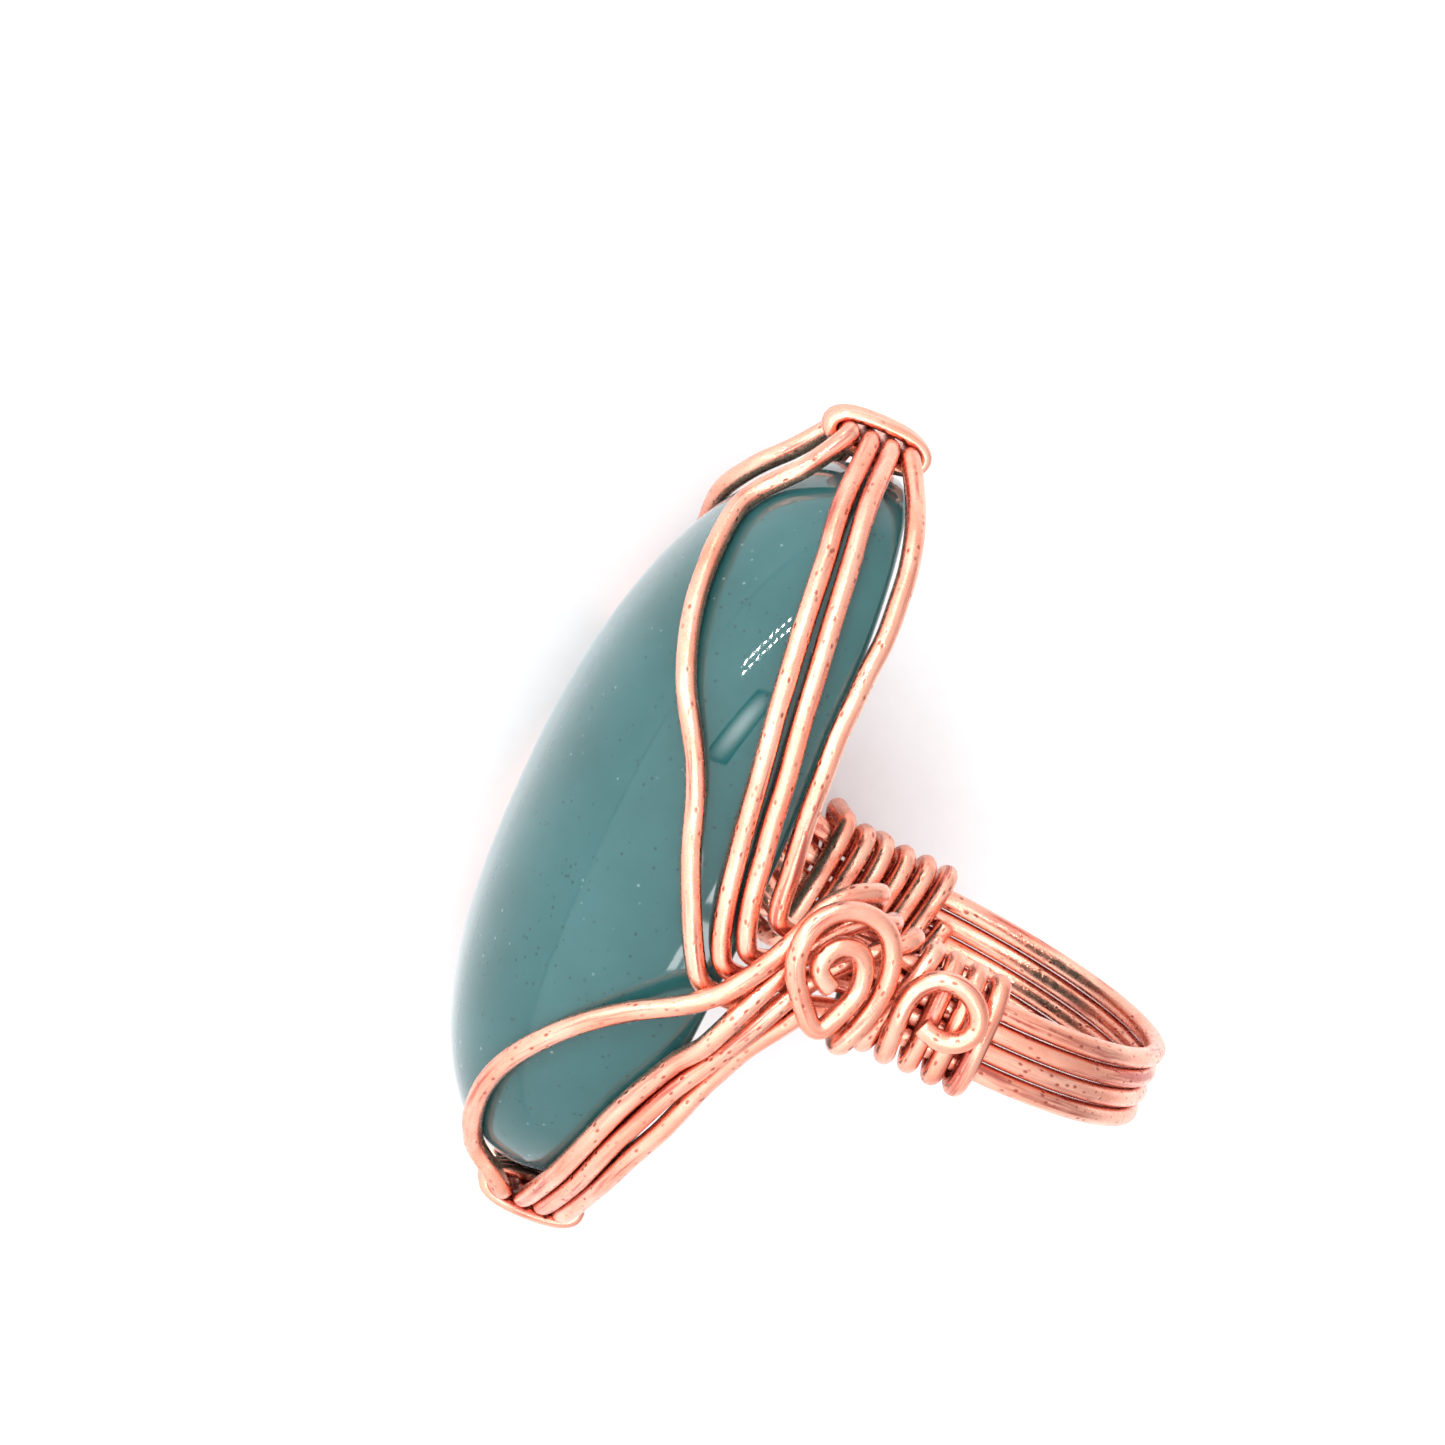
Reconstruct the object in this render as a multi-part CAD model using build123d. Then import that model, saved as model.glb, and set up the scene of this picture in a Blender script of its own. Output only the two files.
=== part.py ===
from build123d import *
import math
import os

# A wire-wrapped copper ring with a green cabochon, lying on its side as it rests by itself.
#
# Four long wires make the whole ring. Side by side they are the shank under the finger. At each
# shoulder they fan out and run up over one side of the stone, round its tip, down the other
# side as the strands of a bundle, and end on the other shoulder in wraps, a spiral and a curl.
# Half a turn about the stone's upright axis brings one side of the ring onto the other.
#
# The ring is worked out in a frame of its own and laid down at the end. There x runs across the
# stone, with the near shoulder at +x and the far one at -x, y runs along the stone, which is
# also the finger's axis, and z runs from the stone's flat back, z = 0, up to its dome.
# Lengths are millimetres and angles are degrees.

# Stone
STONE_LENGTH = 35.3
STONE_WIDTH = 21.0
STONE_HEIGHT = 10.3
STONE_WALL = 1.9
STONE_BEVEL = 0.35
OUTLINE_POWER = 2.3
DOME_POWER = 2.3
CROWN_LEAN = 0.27
STONE_SIDES = 64
DOME_LEVELS = 12

# Wire
WIRE = 0.95
THIN_WIRE = 0.60

# Clearances: between neighbouring wires, and between a wire and the stone
WIRE_GAP = 0.04
SEAT_GAP = 0.06

# Shank: the clear width of the finger hole between the wraps, its centre below the stone's back,
# the shank's middle along y at that level and its lean, how far up each side its round reaches
# and in how many corners it is drawn, the run at which its wires leave the shoulder, and how they
# fan out before that
FINGER_DIAMETER = 17.2
FINGER_DROP = 11.3
SHANK_OFFSET = -2.4
SHANK_LEAN = 0.057
SHOULDER_ANGLE = 8.0
ROUND_STEPS = 8
SHANK_TOP = 7.0
FAN_RATE = 0.10

# Middle of the shoulder's crossing strands and spiral along y
SHOULDER_OFFSET = -2.6

# Tips of the stone: the height at which the wires go round, half the run there and half its
# straight middle, the slack at the upper and the lower tip, and the turns of the thin wire that
# binds them
TIP_HEIGHT = 2.1
TIP_RUN = 1.8
TIP_HOLD = 0.75
UPPER_SLACK = 0.2
LOWER_SLACK = 0.5
BINDING_TURNS = 3

# Over what share of the stone's length the far side's wires are slid towards the shank
FAR_SPREAD = 0.46

# Spiral plate: the levels of its lower and upper end, and its stand-off there in wire pitches
PLATE_LOW = -6.3
PLATE_HIGH = -2.0
PLATE_LOW_LAYER = 2.12
PLATE_HIGH_LAYER = 2.55

# Lean of the ring as it rests on its far side
LEAN_ABOUT_Y = -16.1
LEAN_ABOUT_X = 1.7

PITCH = WIRE + WIRE_GAP
SHANK_RADIUS = FINGER_DIAMETER / 2 + PITCH + WIRE / 2
SHOULDER_RUN = SHANK_RADIUS * math.radians(SHOULDER_ANGLE)
ROUND_STEP = math.radians((180 + 2 * SHOULDER_ANGLE) / ROUND_STEPS)
FAN_START = SHOULDER_RUN + SHANK_RADIUS * math.tan(ROUND_STEP / 2)
SEAT = WIRE / 2 + SEAT_GAP
TIP_REACH = STONE_LENGTH / 2 + THIN_WIRE + WIRE_GAP + WIRE / 2

# How much of the shorter run beside a corner its arc takes, and the half turn, in radians, below
# which a corner needs no arc
ARC_SHARE = 0.47
STRAIGHT = 0.001


# Stone's surface
def signed_power(value, power):
    return math.copysign(abs(value) ** power, value)


def level_scale(height):
    """How much the stone's outline has shrunk at a height."""
    if height <= STONE_WALL:
        return 1.0
    rise = min((height - STONE_WALL) / (STONE_HEIGHT - STONE_WALL), 1.0)
    return (1.0 - rise ** DOME_POWER) ** (1.0 / DOME_POWER)


def level_centre(height):
    """Where the outline's middle lies along y at a height: the crown leans towards -y."""
    return -CROWN_LEAN * max(height - STONE_WALL, 0.0)


def stone_point(turn, height, scale=None):
    """A point of the stone's surface, at a turn round its plan and a height."""
    if scale is None:
        scale = level_scale(height)
    angle = math.radians(turn)
    x = STONE_WIDTH / 2 * scale * signed_power(math.cos(angle), 2 / OUTLINE_POWER)
    y = STONE_LENGTH / 2 * scale * signed_power(math.sin(angle), 2 / OUTLINE_POWER)
    return Vector(x, y + level_centre(height), height)


def stone_normal(point):
    """The outward direction of the stone's surface."""
    across = point.X / (STONE_WIDTH / 2)
    along = (point.Y - level_centre(point.Z)) / (STONE_LENGTH / 2)
    rise = max(point.Z - STONE_WALL, 0.0) / (STONE_HEIGHT - STONE_WALL)
    plan = abs(across) ** OUTLINE_POWER + abs(along) ** OUTLINE_POWER
    plan_rate = DOME_POWER * plan ** (DOME_POWER / OUTLINE_POWER - 1)
    slope_x = plan_rate * signed_power(across, OUTLINE_POWER - 1) / (STONE_WIDTH / 2)
    slope_y = plan_rate * signed_power(along, OUTLINE_POWER - 1) / (STONE_LENGTH / 2)
    slope_z = DOME_POWER * rise ** (DOME_POWER - 1) / (STONE_HEIGHT - STONE_WALL)
    if rise > 0:
        slope_z += CROWN_LEAN * slope_y
    return Vector(slope_x, slope_y, slope_z).normalized()


def half_width(y):
    """Half the stone's width at a place along its back."""
    share = min(abs(y) / (STONE_LENGTH / 2), 0.98)
    return STONE_WIDTH / 2 * (1.0 - share ** OUTLINE_POWER) ** (1.0 / OUTLINE_POWER)


# Places of a wire's centre. Each takes far as its first value: False puts the place on the near
# side, True gives the matching place on the far side, half a turn round.
def shank_middle(z):
    """Where the shank's middle lies along y at a level."""
    return SHANK_OFFSET + SHANK_LEAN * (z + FINGER_DROP)


def on_side(far, x, y, z):
    """A place on the near side, or its match on the far one, turned about the shank's middle."""
    if far:
        return Vector(-x, 2 * shank_middle(z) - y, z)
    return Vector(x, y, z)


def far_turn(turn, height):
    """Where round the stone a far wire lies, slid along it so that it meets the shank."""
    reach = STONE_LENGTH / 2 * level_scale(height)
    along = reach * signed_power(math.sin(math.radians(turn)), 2 / OUTLINE_POWER)
    middle = shank_middle(height)
    share = (along + level_centre(height) - middle) / (FAR_SPREAD * STONE_LENGTH)
    share = max(-1.0, min(1.0, share))
    slide = 2 * (level_centre(height) - middle) * math.cos(math.pi / 2 * share) ** 2
    slid = max(-1.0, min(1.0, (along + slide) / reach))
    return 180 + math.degrees(math.asin(signed_power(slid, OUTLINE_POWER / 2)))


def on_stone(far, turn, share, lift=0.0):
    """On the stone, at a share of its height, lifted off it by some wire pitches."""
    height = share * STONE_HEIGHT
    if far:
        turn = far_turn(turn, height)
    base = stone_point(turn, height)
    return base + stone_normal(base) * (SEAT + lift * PITCH)


def beside(far, layer, along, up):
    """Beside the stone's back: a layer off its edge, and along and up in wire pitches."""
    y = SHOULDER_OFFSET + along * PITCH
    z = up * PITCH
    if far:
        edge = half_width(2 * shank_middle(z) - y)
    else:
        edge = half_width(y)
    return on_side(far, edge + SEAT + layer * PITCH, y, z)


def on_band(far, run, across, layer):
    """On the shank: a run up the shoulder, across and out, all in wire pitches."""
    fan = 1.0 + FAN_RATE * max(run - FAN_START / PITCH, 0.0)
    inner = max(-HALF_SPREAD, min(HALF_SPREAD, across))
    spread = (inner * fan + across - inner) * PITCH
    angle = math.radians(min(run * PITCH / SHOULDER_RUN, 1.0) * SHOULDER_ANGLE)
    straight = max(run * PITCH - SHOULDER_RUN, 0.0)
    radius = SHANK_RADIUS + layer * PITCH
    x = radius * math.cos(angle) - straight * math.sin(angle)
    z = radius * math.sin(angle) + straight * math.cos(angle) - FINGER_DROP
    return on_side(far, x, shank_middle(z) + spread, z)


def on_plate(far, along, up):
    """On the slanted plane in which the spiral lies, along and up in wire pitches."""
    low = on_band(False, SHOULDER_RUN / PITCH, 0.0, PLATE_LOW_LAYER).X
    high = STONE_WIDTH / 2 + PLATE_HIGH_LAYER * PITCH
    z = up * PITCH
    x = low + (high - low) * (z - PLATE_LOW) / (PLATE_HIGH - PLATE_LOW)
    return on_side(far, x, SHOULDER_OFFSET + along * PITCH, z)


def at_tip(far, strand, end, run=TIP_RUN):
    """Where a strand goes round a tip: end is 1 at the strand's upper tip, -1 at its lower."""
    if far:
        end = -end
        run = -run
    reach = TIP_REACH + (UPPER_SLACK if end > 0 else LOWER_SLACK)
    return Vector(run, end * reach, TIP_HEIGHT + (HALF_SPREAD - strand) * PITCH)


# Routes: strands that rise from the shank over one side of the stone, shank end first
RISING = [
    [
        (beside, -0.5, -2.6, -1.9),
        (on_stone, -13.7, 0.06), (on_stone, -10.6, 0.16), (on_stone, -3.9, 0.27),
        (on_stone, 2.1, 0.37), (on_stone, 9.2, 0.44), (on_stone, 17.2, 0.53),
        (on_stone, 27.2, 0.63), (on_stone, 41.3, 0.69), (on_stone, 54.3, 0.70),
        (on_stone, 66.5, 0.68), (on_stone, 78, 0.63), (on_stone, 80.5, 0.53),
        (on_stone, 80.5, 0.42, 0.3),
    ],
    [
        (beside, -0.5, -1.3, -1.8),
        (on_stone, -10.3, 0.035), (on_stone, -3.5, 0.135), (on_stone, 1.2, 0.18), (on_stone, 5.1, 0.205),
        (on_stone, 12.2, 0.235), (on_stone, 20.2, 0.265), (on_stone, 28.2, 0.285),
        (on_stone, 38.2, 0.30), (on_stone, 51.3, 0.30), (on_stone, 67.5, 0.29, 0.1),
    ],
    [
        (beside, -0.6, -0.1, -2.0),
        (on_stone, -7.4, -0.04), (on_stone, -2, 0.045), (on_stone, 2.9, 0.082), (on_stone, 6.8, 0.105),
        (on_stone, 13.6, 0.13), (on_stone, 20.4, 0.16), (on_stone, 28.3, 0.18), (on_stone, 39.2, 0.195),
        (on_stone, 52.3, 0.20), (on_stone, 68.5, 0.19, 0.1),
    ],
    [
        (beside, -1.0, 1.6, -3.0), (on_stone, -2.6, -0.095), (on_stone, 2.5, -0.055),
        (on_stone, 9.8, -0.02), (on_stone, 15.9, -0.01), (on_stone, 22, 0.0), (on_stone, 27.2, -0.01),
        (on_stone, 33.5, -0.02), (on_stone, 39.5, -0.04), (on_stone, 47.5, -0.04),
        (on_stone, 54.5, -0.04), (on_stone, 64.5, -0.02, 0.1), (on_stone, 76.5, 0.01, 0.2),
    ],
]

# The far side's first rising strand runs higher and stands off the stone, because the ring
# rests on it. So does its first crossing strand, further down.
FAR_TOP_RISING = [
    (beside, -0.5, -2.6, -1.9),
    (on_stone, -13.7, 0.06), (on_stone, -12.5, 0.20), (on_stone, -10.5, 0.38, 0.2),
    (on_stone, -7, 0.54, 0.6), (on_stone, -1.5, 0.66, 1.05), (on_stone, 6, 0.70, 1.2),
    (on_stone, 16, 0.71, 1.1), (on_stone, 28, 0.70, 0.6), (on_stone, 42, 0.67, 0.15),
    (on_stone, 54.3, 0.60), (on_stone, 66.5, 0.52), (on_stone, 77, 0.455, 0.1),
    (on_stone, 80.5, 0.40, 0.3),
]

# Strands that come from the lower tip to the shoulder and end there, tip end first
CROSSING = [
    [
        (on_stone, -80, 0.43, 0.3), (on_stone, -77.9, 0.54), (on_stone, -66.5, 0.62),
        (on_stone, -54.7, 0.66), (on_stone, -43.7, 0.65), (on_stone, -34.8, 0.60),
        (on_stone, -27.8, 0.52), (on_stone, -22.8, 0.42, 0.1), (on_stone, -18.8, 0.29, 0.5),
        (on_stone, -15.9, 0.14, 1.0),
        (beside, 1.1, -2.25, 0.2), (beside, 1.15, -1.2, -0.5), (beside, 1.1, 0.0, -1.2),
        (beside, 0.9, 1.6, -1.95), (beside, 0.5, 3.3, -2.6), (beside, 0.1, 4.2, -3.6),
    ],
    [
        (on_stone, -65.5, 0.242, 0.1), (on_stone, -49.7, 0.21), (on_stone, -39.4, 0.16),
        (on_stone, -31.8, 0.10), (on_stone, -25.2, 0.035, 0.2), (on_stone, -20.7, -0.025, 0.85),
        (beside, 1.0, -2.8, -0.95), (beside, 0.7, -1.3, -1.6), (beside, 0.4, 0.2, -2.25),
        (beside, 0.15, 1.7, -3.15), (beside, -0.25, 3.3, -4.5),
    ],
    [
        (on_stone, -65.2, 0.13, 0.1), (on_stone, -50.5, 0.11), (on_stone, -40.1, 0.06),
        (on_stone, -31.6, 0.0), (on_stone, -25.5, -0.07, 0.1),
        (beside, 0.4, -4.4, -1.45), (beside, 0.4, -2.8, -2.15), (beside, 0.2, -1.3, -2.85),
        (beside, -0.05, 0.35, -3.9), (beside, -0.4, 1.8, -5.4),
    ],
    [
        (on_stone, -72.5, 0.04, 0.1), (on_stone, -60.5, 0.03), (on_stone, -48.5, 0.0),
        (on_stone, -39.5, -0.055), (on_stone, -31.5, -0.11, -0.4), (on_stone, -25.5, -0.165, -0.6),
        (beside, -0.35, -4.4, -2.25), (beside, -0.15, -2.9, -3.1), (beside, 0.0, -1.4, -4.0),
    ],
]

FAR_TOP_CROSSING = [
    (on_stone, -80, 0.43, 0.3), (on_stone, -77.9, 0.54, 0.15), (on_stone, -66.5, 0.62, 0.1),
    (on_stone, -54.7, 0.61), (on_stone, -43.7, 0.575, 0.15), (on_stone, -34.8, 0.575, 0.7),
    (on_stone, -26.5, 0.60, 1.2), (on_stone, -21, 0.615, 1.35), (on_stone, -18, 0.54, 0.9),
    (on_stone, -16.6, 0.40, 0.6), (on_stone, -15.7, 0.26, 0.75), (on_stone, -15.2, 0.14, 1.0),
    (beside, 1.1, -2.25, 0.2), (beside, 1.15, -1.2, -0.5), (beside, 1.1, 0.0, -1.2),
    (beside, 0.9, 1.6, -1.95), (beside, 0.5, 3.3, -2.6), (beside, 0.1, 4.2, -3.6),
]

# Ends of the crossing strands: the spiral, the wraps, the curl, and a plain tucked end
SPIRAL = [
    (on_band, 6.46, 3.5, 0.9), (on_band, 6.46, 3.0, -1.0),
    (on_band, 5.66, -2.6, -1.0), (on_band, 5.66, -2.6, 0.7),
    (on_plate, -2.4, -5.6), (on_plate, -0.9, -6.2), (on_plate, 0.65, -6.45),
    (on_plate, 2.2, -6.25), (on_plate, 3.45, -5.5), (on_plate, 3.9, -4.15),
    (on_plate, 3.5, -2.8), (on_plate, 2.4, -1.95), (on_plate, 0.6, -1.95),
    (on_plate, -0.75, -2.9), (on_plate, -2.25, -4.35), (on_plate, -0.7, -5.05),
    (on_plate, 0.45, -5.4), (on_plate, 1.65, -5.1), (on_plate, 2.25, -4.45),
    (on_plate, 2.0, -3.45), (on_plate, 1.0, -3.05), (on_plate, 0.35, -3.45),
    (on_plate, 0.1, -4.05),
]
WRAPS = [
    (on_band, 5.4, 2.55, 1.05), (on_band, 5.4, 2.55, -1.05),
    (on_band, 4.44, -2.55, -1.05), (on_band, 4.44, -2.55, 1.05),
    (on_band, 3.13, 2.55, 1.05), (on_band, 3.13, 2.55, -1.05),
    (on_band, 2.17, -2.55, -1.05), (on_band, 2.17, -2.55, 1.05),
    (on_band, 2.12, 2.55, 1.05), (on_band, 2.12, 2.55, -1.05),
    (on_band, 0.99, -2.55, -1.05), (on_band, 0.99, -2.55, 1.05),
    (on_band, 0.99, 2.55, 1.05), (on_band, 0.99, 2.55, -1.05),
    (on_band, -0.15, -2.55, -1.05), (on_band, -0.15, -2.55, 1.05),
    (on_band, -0.15, 2.55, 1.05), (on_band, -0.15, 2.55, -1.05),
    (on_band, -1.0, -0.5, -1.05),
]
CURL = [
    (on_band, 4.24, 2.55, 1.05), (on_band, 4.24, 2.55, -1.05),
    (on_band, 3.33, -2.55, -1.05), (on_band, 3.33, -2.65, 1.3),
    (on_band, 3.54, -1.0, 2.1), (on_band, 3.54, 0.45, 2.1), (on_band, 3.13, 1.4, 2.1),
    (on_band, 2.32, 2.0, 2.1), (on_band, 1.21, 2.0, 2.1), (on_band, 0.5, 1.35, 2.1),
    (on_band, 0.3, 0.45, 2.1), (on_band, 0.76, -0.4, 2.1), (on_band, 1.57, -0.7, 2.1),
    (on_band, 2.42, -0.4, 2.1),
]
ENDINGS = [SPIRAL, WRAPS, CURL, []]

# Half the spread of the strands side by side, in wire pitches
HALF_SPREAD = (len(RISING) - 1) / 2


def places(rows, far):
    return [row[0](far, *row[1:]) for row in rows]


def eased(points):
    """Adds a point halfway along each inner run, bowed as its neighbours are bent."""
    full = points[:2]
    for before, start, end, after in zip(points, points[1:], points[2:], points[3:]):
        full.append((start + end) * (9 / 16) - (before + after) * (1 / 16))
        full.append(end)
    return full + points[-1:]


def rising_points(far, strand):
    """From the shank's end up over the stone to the upper tip."""
    across = strand - HALF_SPREAD
    rows = FAR_TOP_RISING if far and strand == 0 else RISING[strand]
    start = [on_band(far, run / PITCH, across, 0.0) for run in (FAN_START, SHANK_TOP)]
    rise = eased(places(rows, far) + [at_tip(far, strand, 1)])
    return start + rise + [at_tip(far, strand, 1, TIP_HOLD)]


def crossing_points(far, strand):
    """From the lower tip down over the shoulder to the strand's end."""
    rows = FAR_TOP_CROSSING if far and strand == 0 else CROSSING[strand]
    start = [at_tip(far, strand, -1, TIP_HOLD)]
    crossing = [at_tip(far, strand, -1)] + places(rows, far)
    return start + eased(crossing) + places(ENDINGS[strand], far)


def shank_points(strand):
    """Corners of the round of the shank, from the near shoulder under the finger to the far."""
    radius = SHANK_RADIUS / math.cos(ROUND_STEP / 2)
    points = []
    for corner in range(ROUND_STEPS):
        angle = math.radians(SHOULDER_ANGLE) - (corner + 0.5) * ROUND_STEP
        z = radius * math.sin(angle) - FINGER_DROP
        y = shank_middle(z) + (strand - HALF_SPREAD) * PITCH
        points.append(Vector(radius * math.cos(angle), y, z))
    return points


def long_wire_points(strand):
    """One long wire, from its end on the near shoulder to its end on the far one.

    The strand that rises fourth on the far side rises first on the near one.
    """
    partner = len(RISING) - 1 - strand
    points = crossing_points(False, partner)[::-1]
    points += rising_points(True, partner)[::-1]
    points += shank_points(strand)[::-1]
    points += rising_points(False, strand)
    points += crossing_points(True, strand)
    return points


# Wire solids
def wire_path(points):
    """Straight runs joined by tangent arcs, each nearly as large as its shorter run allows."""
    edges = []
    place = points[0]
    tightest = math.inf
    for before, corner, after in zip(points, points[1:], points[2:]):
        back = before - corner
        ahead = after - corner
        half_turn = math.radians(180 - back.get_angle(ahead)) / 2
        if half_turn < STRAIGHT:
            continue
        reach = min(back.length, ahead.length) * ARC_SHARE
        radius = reach / math.tan(half_turn)
        tightest = min(tightest, radius)
        start = corner + back.normalized() * reach
        end = corner + ahead.normalized() * reach
        inward = (back.normalized() + ahead.normalized()).normalized()
        middle = corner + inward * (radius / math.cos(half_turn) - radius)
        edges.append(Edge.make_line(place, start))
        edges.append(Edge.make_three_point_arc(start, middle, end))
        place = end
    edges.append(Edge.make_line(place, points[-1]))
    return Wire(edges), tightest


def bent_wire(name, points, diameter):
    """A round wire along the points, whose volume is checked against its length."""
    path, tightest = wire_path(points)
    section = Plane(points[0], z_dir=points[1] - points[0]) * Circle(diameter / 2)
    body = sweep(section, path=path)
    expected = math.pi * diameter ** 2 / 4 * path.length
    share = body.volume / expected
    print(f"{name}: {path.length:.1f} mm long, tightest bend {tightest:.2f} mm, volume {share:.4f}")
    return body


def long_wires():
    pieces = {}
    for strand in range(len(RISING)):
        name = f"long_wire_{strand + 1}"
        pieces[name] = bent_wire(name, long_wire_points(strand), WIRE)
    return pieces


# Thin wire that binds the four wires at a tip
def binding_points(end):
    """A flat coil round the four wires: down outside them, up between them and the stone."""
    reach = (TIP_REACH + (UPPER_SLACK if end > 0 else LOWER_SLACK)) * end
    around = WIRE / 2 + WIRE_GAP + THIN_WIRE / 2
    half_height = HALF_SPREAD * PITCH + around
    low = TIP_HEIGHT - half_height
    high = TIP_HEIGHT + half_height
    advance = THIN_WIRE + WIRE_GAP
    x = -advance * (BINDING_TURNS - 1) / 2
    points = [Vector(x, reach - end * around, TIP_HEIGHT), Vector(x, reach - end * around, high)]
    for turn in range(BINDING_TURNS):
        points += [Vector(x, reach + end * around, high), Vector(x, reach + end * around, low)]
        points.append(Vector(x, reach - end * around, low))
        x += advance
        if turn < BINDING_TURNS - 1:
            points.append(Vector(x, reach - end * around, high))
    points.append(Vector(x - advance, reach - end * around, TIP_HEIGHT - THIN_WIRE / 2))
    return points


def bindings():
    return {
        "upper_binding": bent_wire("upper_binding", binding_points(1), THIN_WIRE),
        "lower_binding": bent_wire("lower_binding", binding_points(-1), THIN_WIRE),
    }


# Cabochon: flat facets between level outlines, close enough together to read as a smooth dome
def level_outline(height, scale):
    return [stone_point(360 * side / STONE_SIDES, height, scale) for side in range(STONE_SIDES)]


def stone_levels():
    """Outlines from the flat back up: the bevel, the upright wall and the dome.

    The last one stays half a step short of the crown, which a flat facet closes.
    """
    bevel = 1.0 - 2 * STONE_BEVEL / STONE_WIDTH
    levels = [level_outline(0.0, bevel), level_outline(STONE_BEVEL, 1.0)]
    for step in range(DOME_LEVELS + 1):
        rise = math.sin(math.pi / 2 * step / (DOME_LEVELS + 0.5))
        height = STONE_WALL + (STONE_HEIGHT - STONE_WALL) * rise
        levels.append(level_outline(height, level_scale(height)))
    return levels


def cabochon():
    levels = stone_levels()
    faces = [
        Face(Wire.make_polygon(levels[0][::-1], close=True)),
        Face(Wire.make_polygon(levels[-1], close=True)),
    ]
    for lower, upper in zip(levels, levels[1:]):
        for side in range(STONE_SIDES):
            after = (side + 1) % STONE_SIDES
            corners = [lower[side], lower[after], upper[after], upper[side]]
            faces.append(Face(Wire.make_polygon(corners, close=True)))
    return Solid(Shell(faces))


# The ring laid down on its far side, with its origin under its middle
def laid_down(pieces):
    resting = Rot(LEAN_ABOUT_X, LEAN_ABOUT_Y, 0) * Plane(
        (0, 0, 0), x_dir=(0, 0, 1), z_dir=(-1, 0, 0)
    ).location
    turned = {name: piece.moved(resting) for name, piece in pieces.items()}
    box = Compound(list(turned.values())).bounding_box()
    middle = box.center()
    to_origin = Pos(-middle.X, -middle.Y, -box.min.Z)
    return {name: piece.moved(to_origin) for name, piece in turned.items()}


def main():
    pieces = {"cabochon": cabochon()}
    pieces.update(long_wires())
    pieces.update(bindings())
    os.makedirs("parts", exist_ok=True)
    for name, piece in laid_down(pieces).items():
        export_step(piece, f"parts/{name}.step")


main()
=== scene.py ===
# %% [markdown]
# # A wire-wrapped copper ring with a green cabochon
#
# This lesson dresses a ring that is already modelled as plain solids. The real ring is an oval
# domed stone held by four long copper wires, with no solder and no cast setting: the wires are
# the band under the finger, the cage round the stone, and the spiral and curl on each shoulder.
# Thin wire binds the four together at the stone's two tips.
#
# The plain solids come in as a frame that never moves. Each piece made here takes the place of
# one of them, so every piece has to come out where its solid is.

# %% Tools, and the frame
import math

import bpy
from mathutils import Matrix, Vector
from mathutils.kdtree import KDTree


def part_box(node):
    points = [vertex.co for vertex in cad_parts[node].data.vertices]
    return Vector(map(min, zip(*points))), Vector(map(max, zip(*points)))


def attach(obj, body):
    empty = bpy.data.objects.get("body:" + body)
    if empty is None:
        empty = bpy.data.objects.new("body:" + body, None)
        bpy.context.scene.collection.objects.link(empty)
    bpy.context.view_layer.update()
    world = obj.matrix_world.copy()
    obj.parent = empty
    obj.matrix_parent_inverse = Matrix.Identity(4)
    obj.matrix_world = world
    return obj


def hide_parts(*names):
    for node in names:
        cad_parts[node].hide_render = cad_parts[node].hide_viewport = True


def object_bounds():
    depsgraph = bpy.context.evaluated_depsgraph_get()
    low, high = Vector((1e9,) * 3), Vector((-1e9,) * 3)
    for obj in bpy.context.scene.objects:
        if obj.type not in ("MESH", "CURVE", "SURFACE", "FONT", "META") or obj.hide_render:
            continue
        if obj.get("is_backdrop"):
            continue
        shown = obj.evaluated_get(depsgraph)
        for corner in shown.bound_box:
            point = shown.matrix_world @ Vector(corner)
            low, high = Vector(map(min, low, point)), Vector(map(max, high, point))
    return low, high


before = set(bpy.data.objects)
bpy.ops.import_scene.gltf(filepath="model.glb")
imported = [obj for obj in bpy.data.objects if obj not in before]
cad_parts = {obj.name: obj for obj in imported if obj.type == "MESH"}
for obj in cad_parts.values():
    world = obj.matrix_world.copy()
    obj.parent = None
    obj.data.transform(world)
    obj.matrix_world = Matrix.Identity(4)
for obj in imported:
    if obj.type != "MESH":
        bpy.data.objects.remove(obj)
solid_box = [list(corner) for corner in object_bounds()]
print("solids:", sorted(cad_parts))
print("box in millimetres:", [[round(1000 * value, 2) for value in corner] for corner in solid_box])

# %% [markdown]
# ## Sizes
#
# A jeweller would give these in millimetres, so the routes of the wires are worked out in
# millimetres too and turned to metres at the very end. They are worked out in the ring's own
# frame: x runs across the stone, y runs along it, and z runs from its flat back up to its dome.
# The near shoulder, which the camera sees, is at +x.

# %% Sizes of the stone, the wire and the band
MM = 0.001

STONE_LENGTH = 35.3
STONE_WIDTH = 21.0
STONE_HEIGHT = 10.3
STONE_WALL = 1.9
STONE_BEVEL = 0.35
OUTLINE_POWER = 2.3
DOME_POWER = 2.3
CROWN_LEAN = 0.27

WIRE = 0.95
THIN_WIRE = 0.60
WIRE_GAP = 0.04
SEAT_GAP = 0.06
PITCH = WIRE + WIRE_GAP
SEAT = WIRE / 2 + SEAT_GAP

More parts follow.
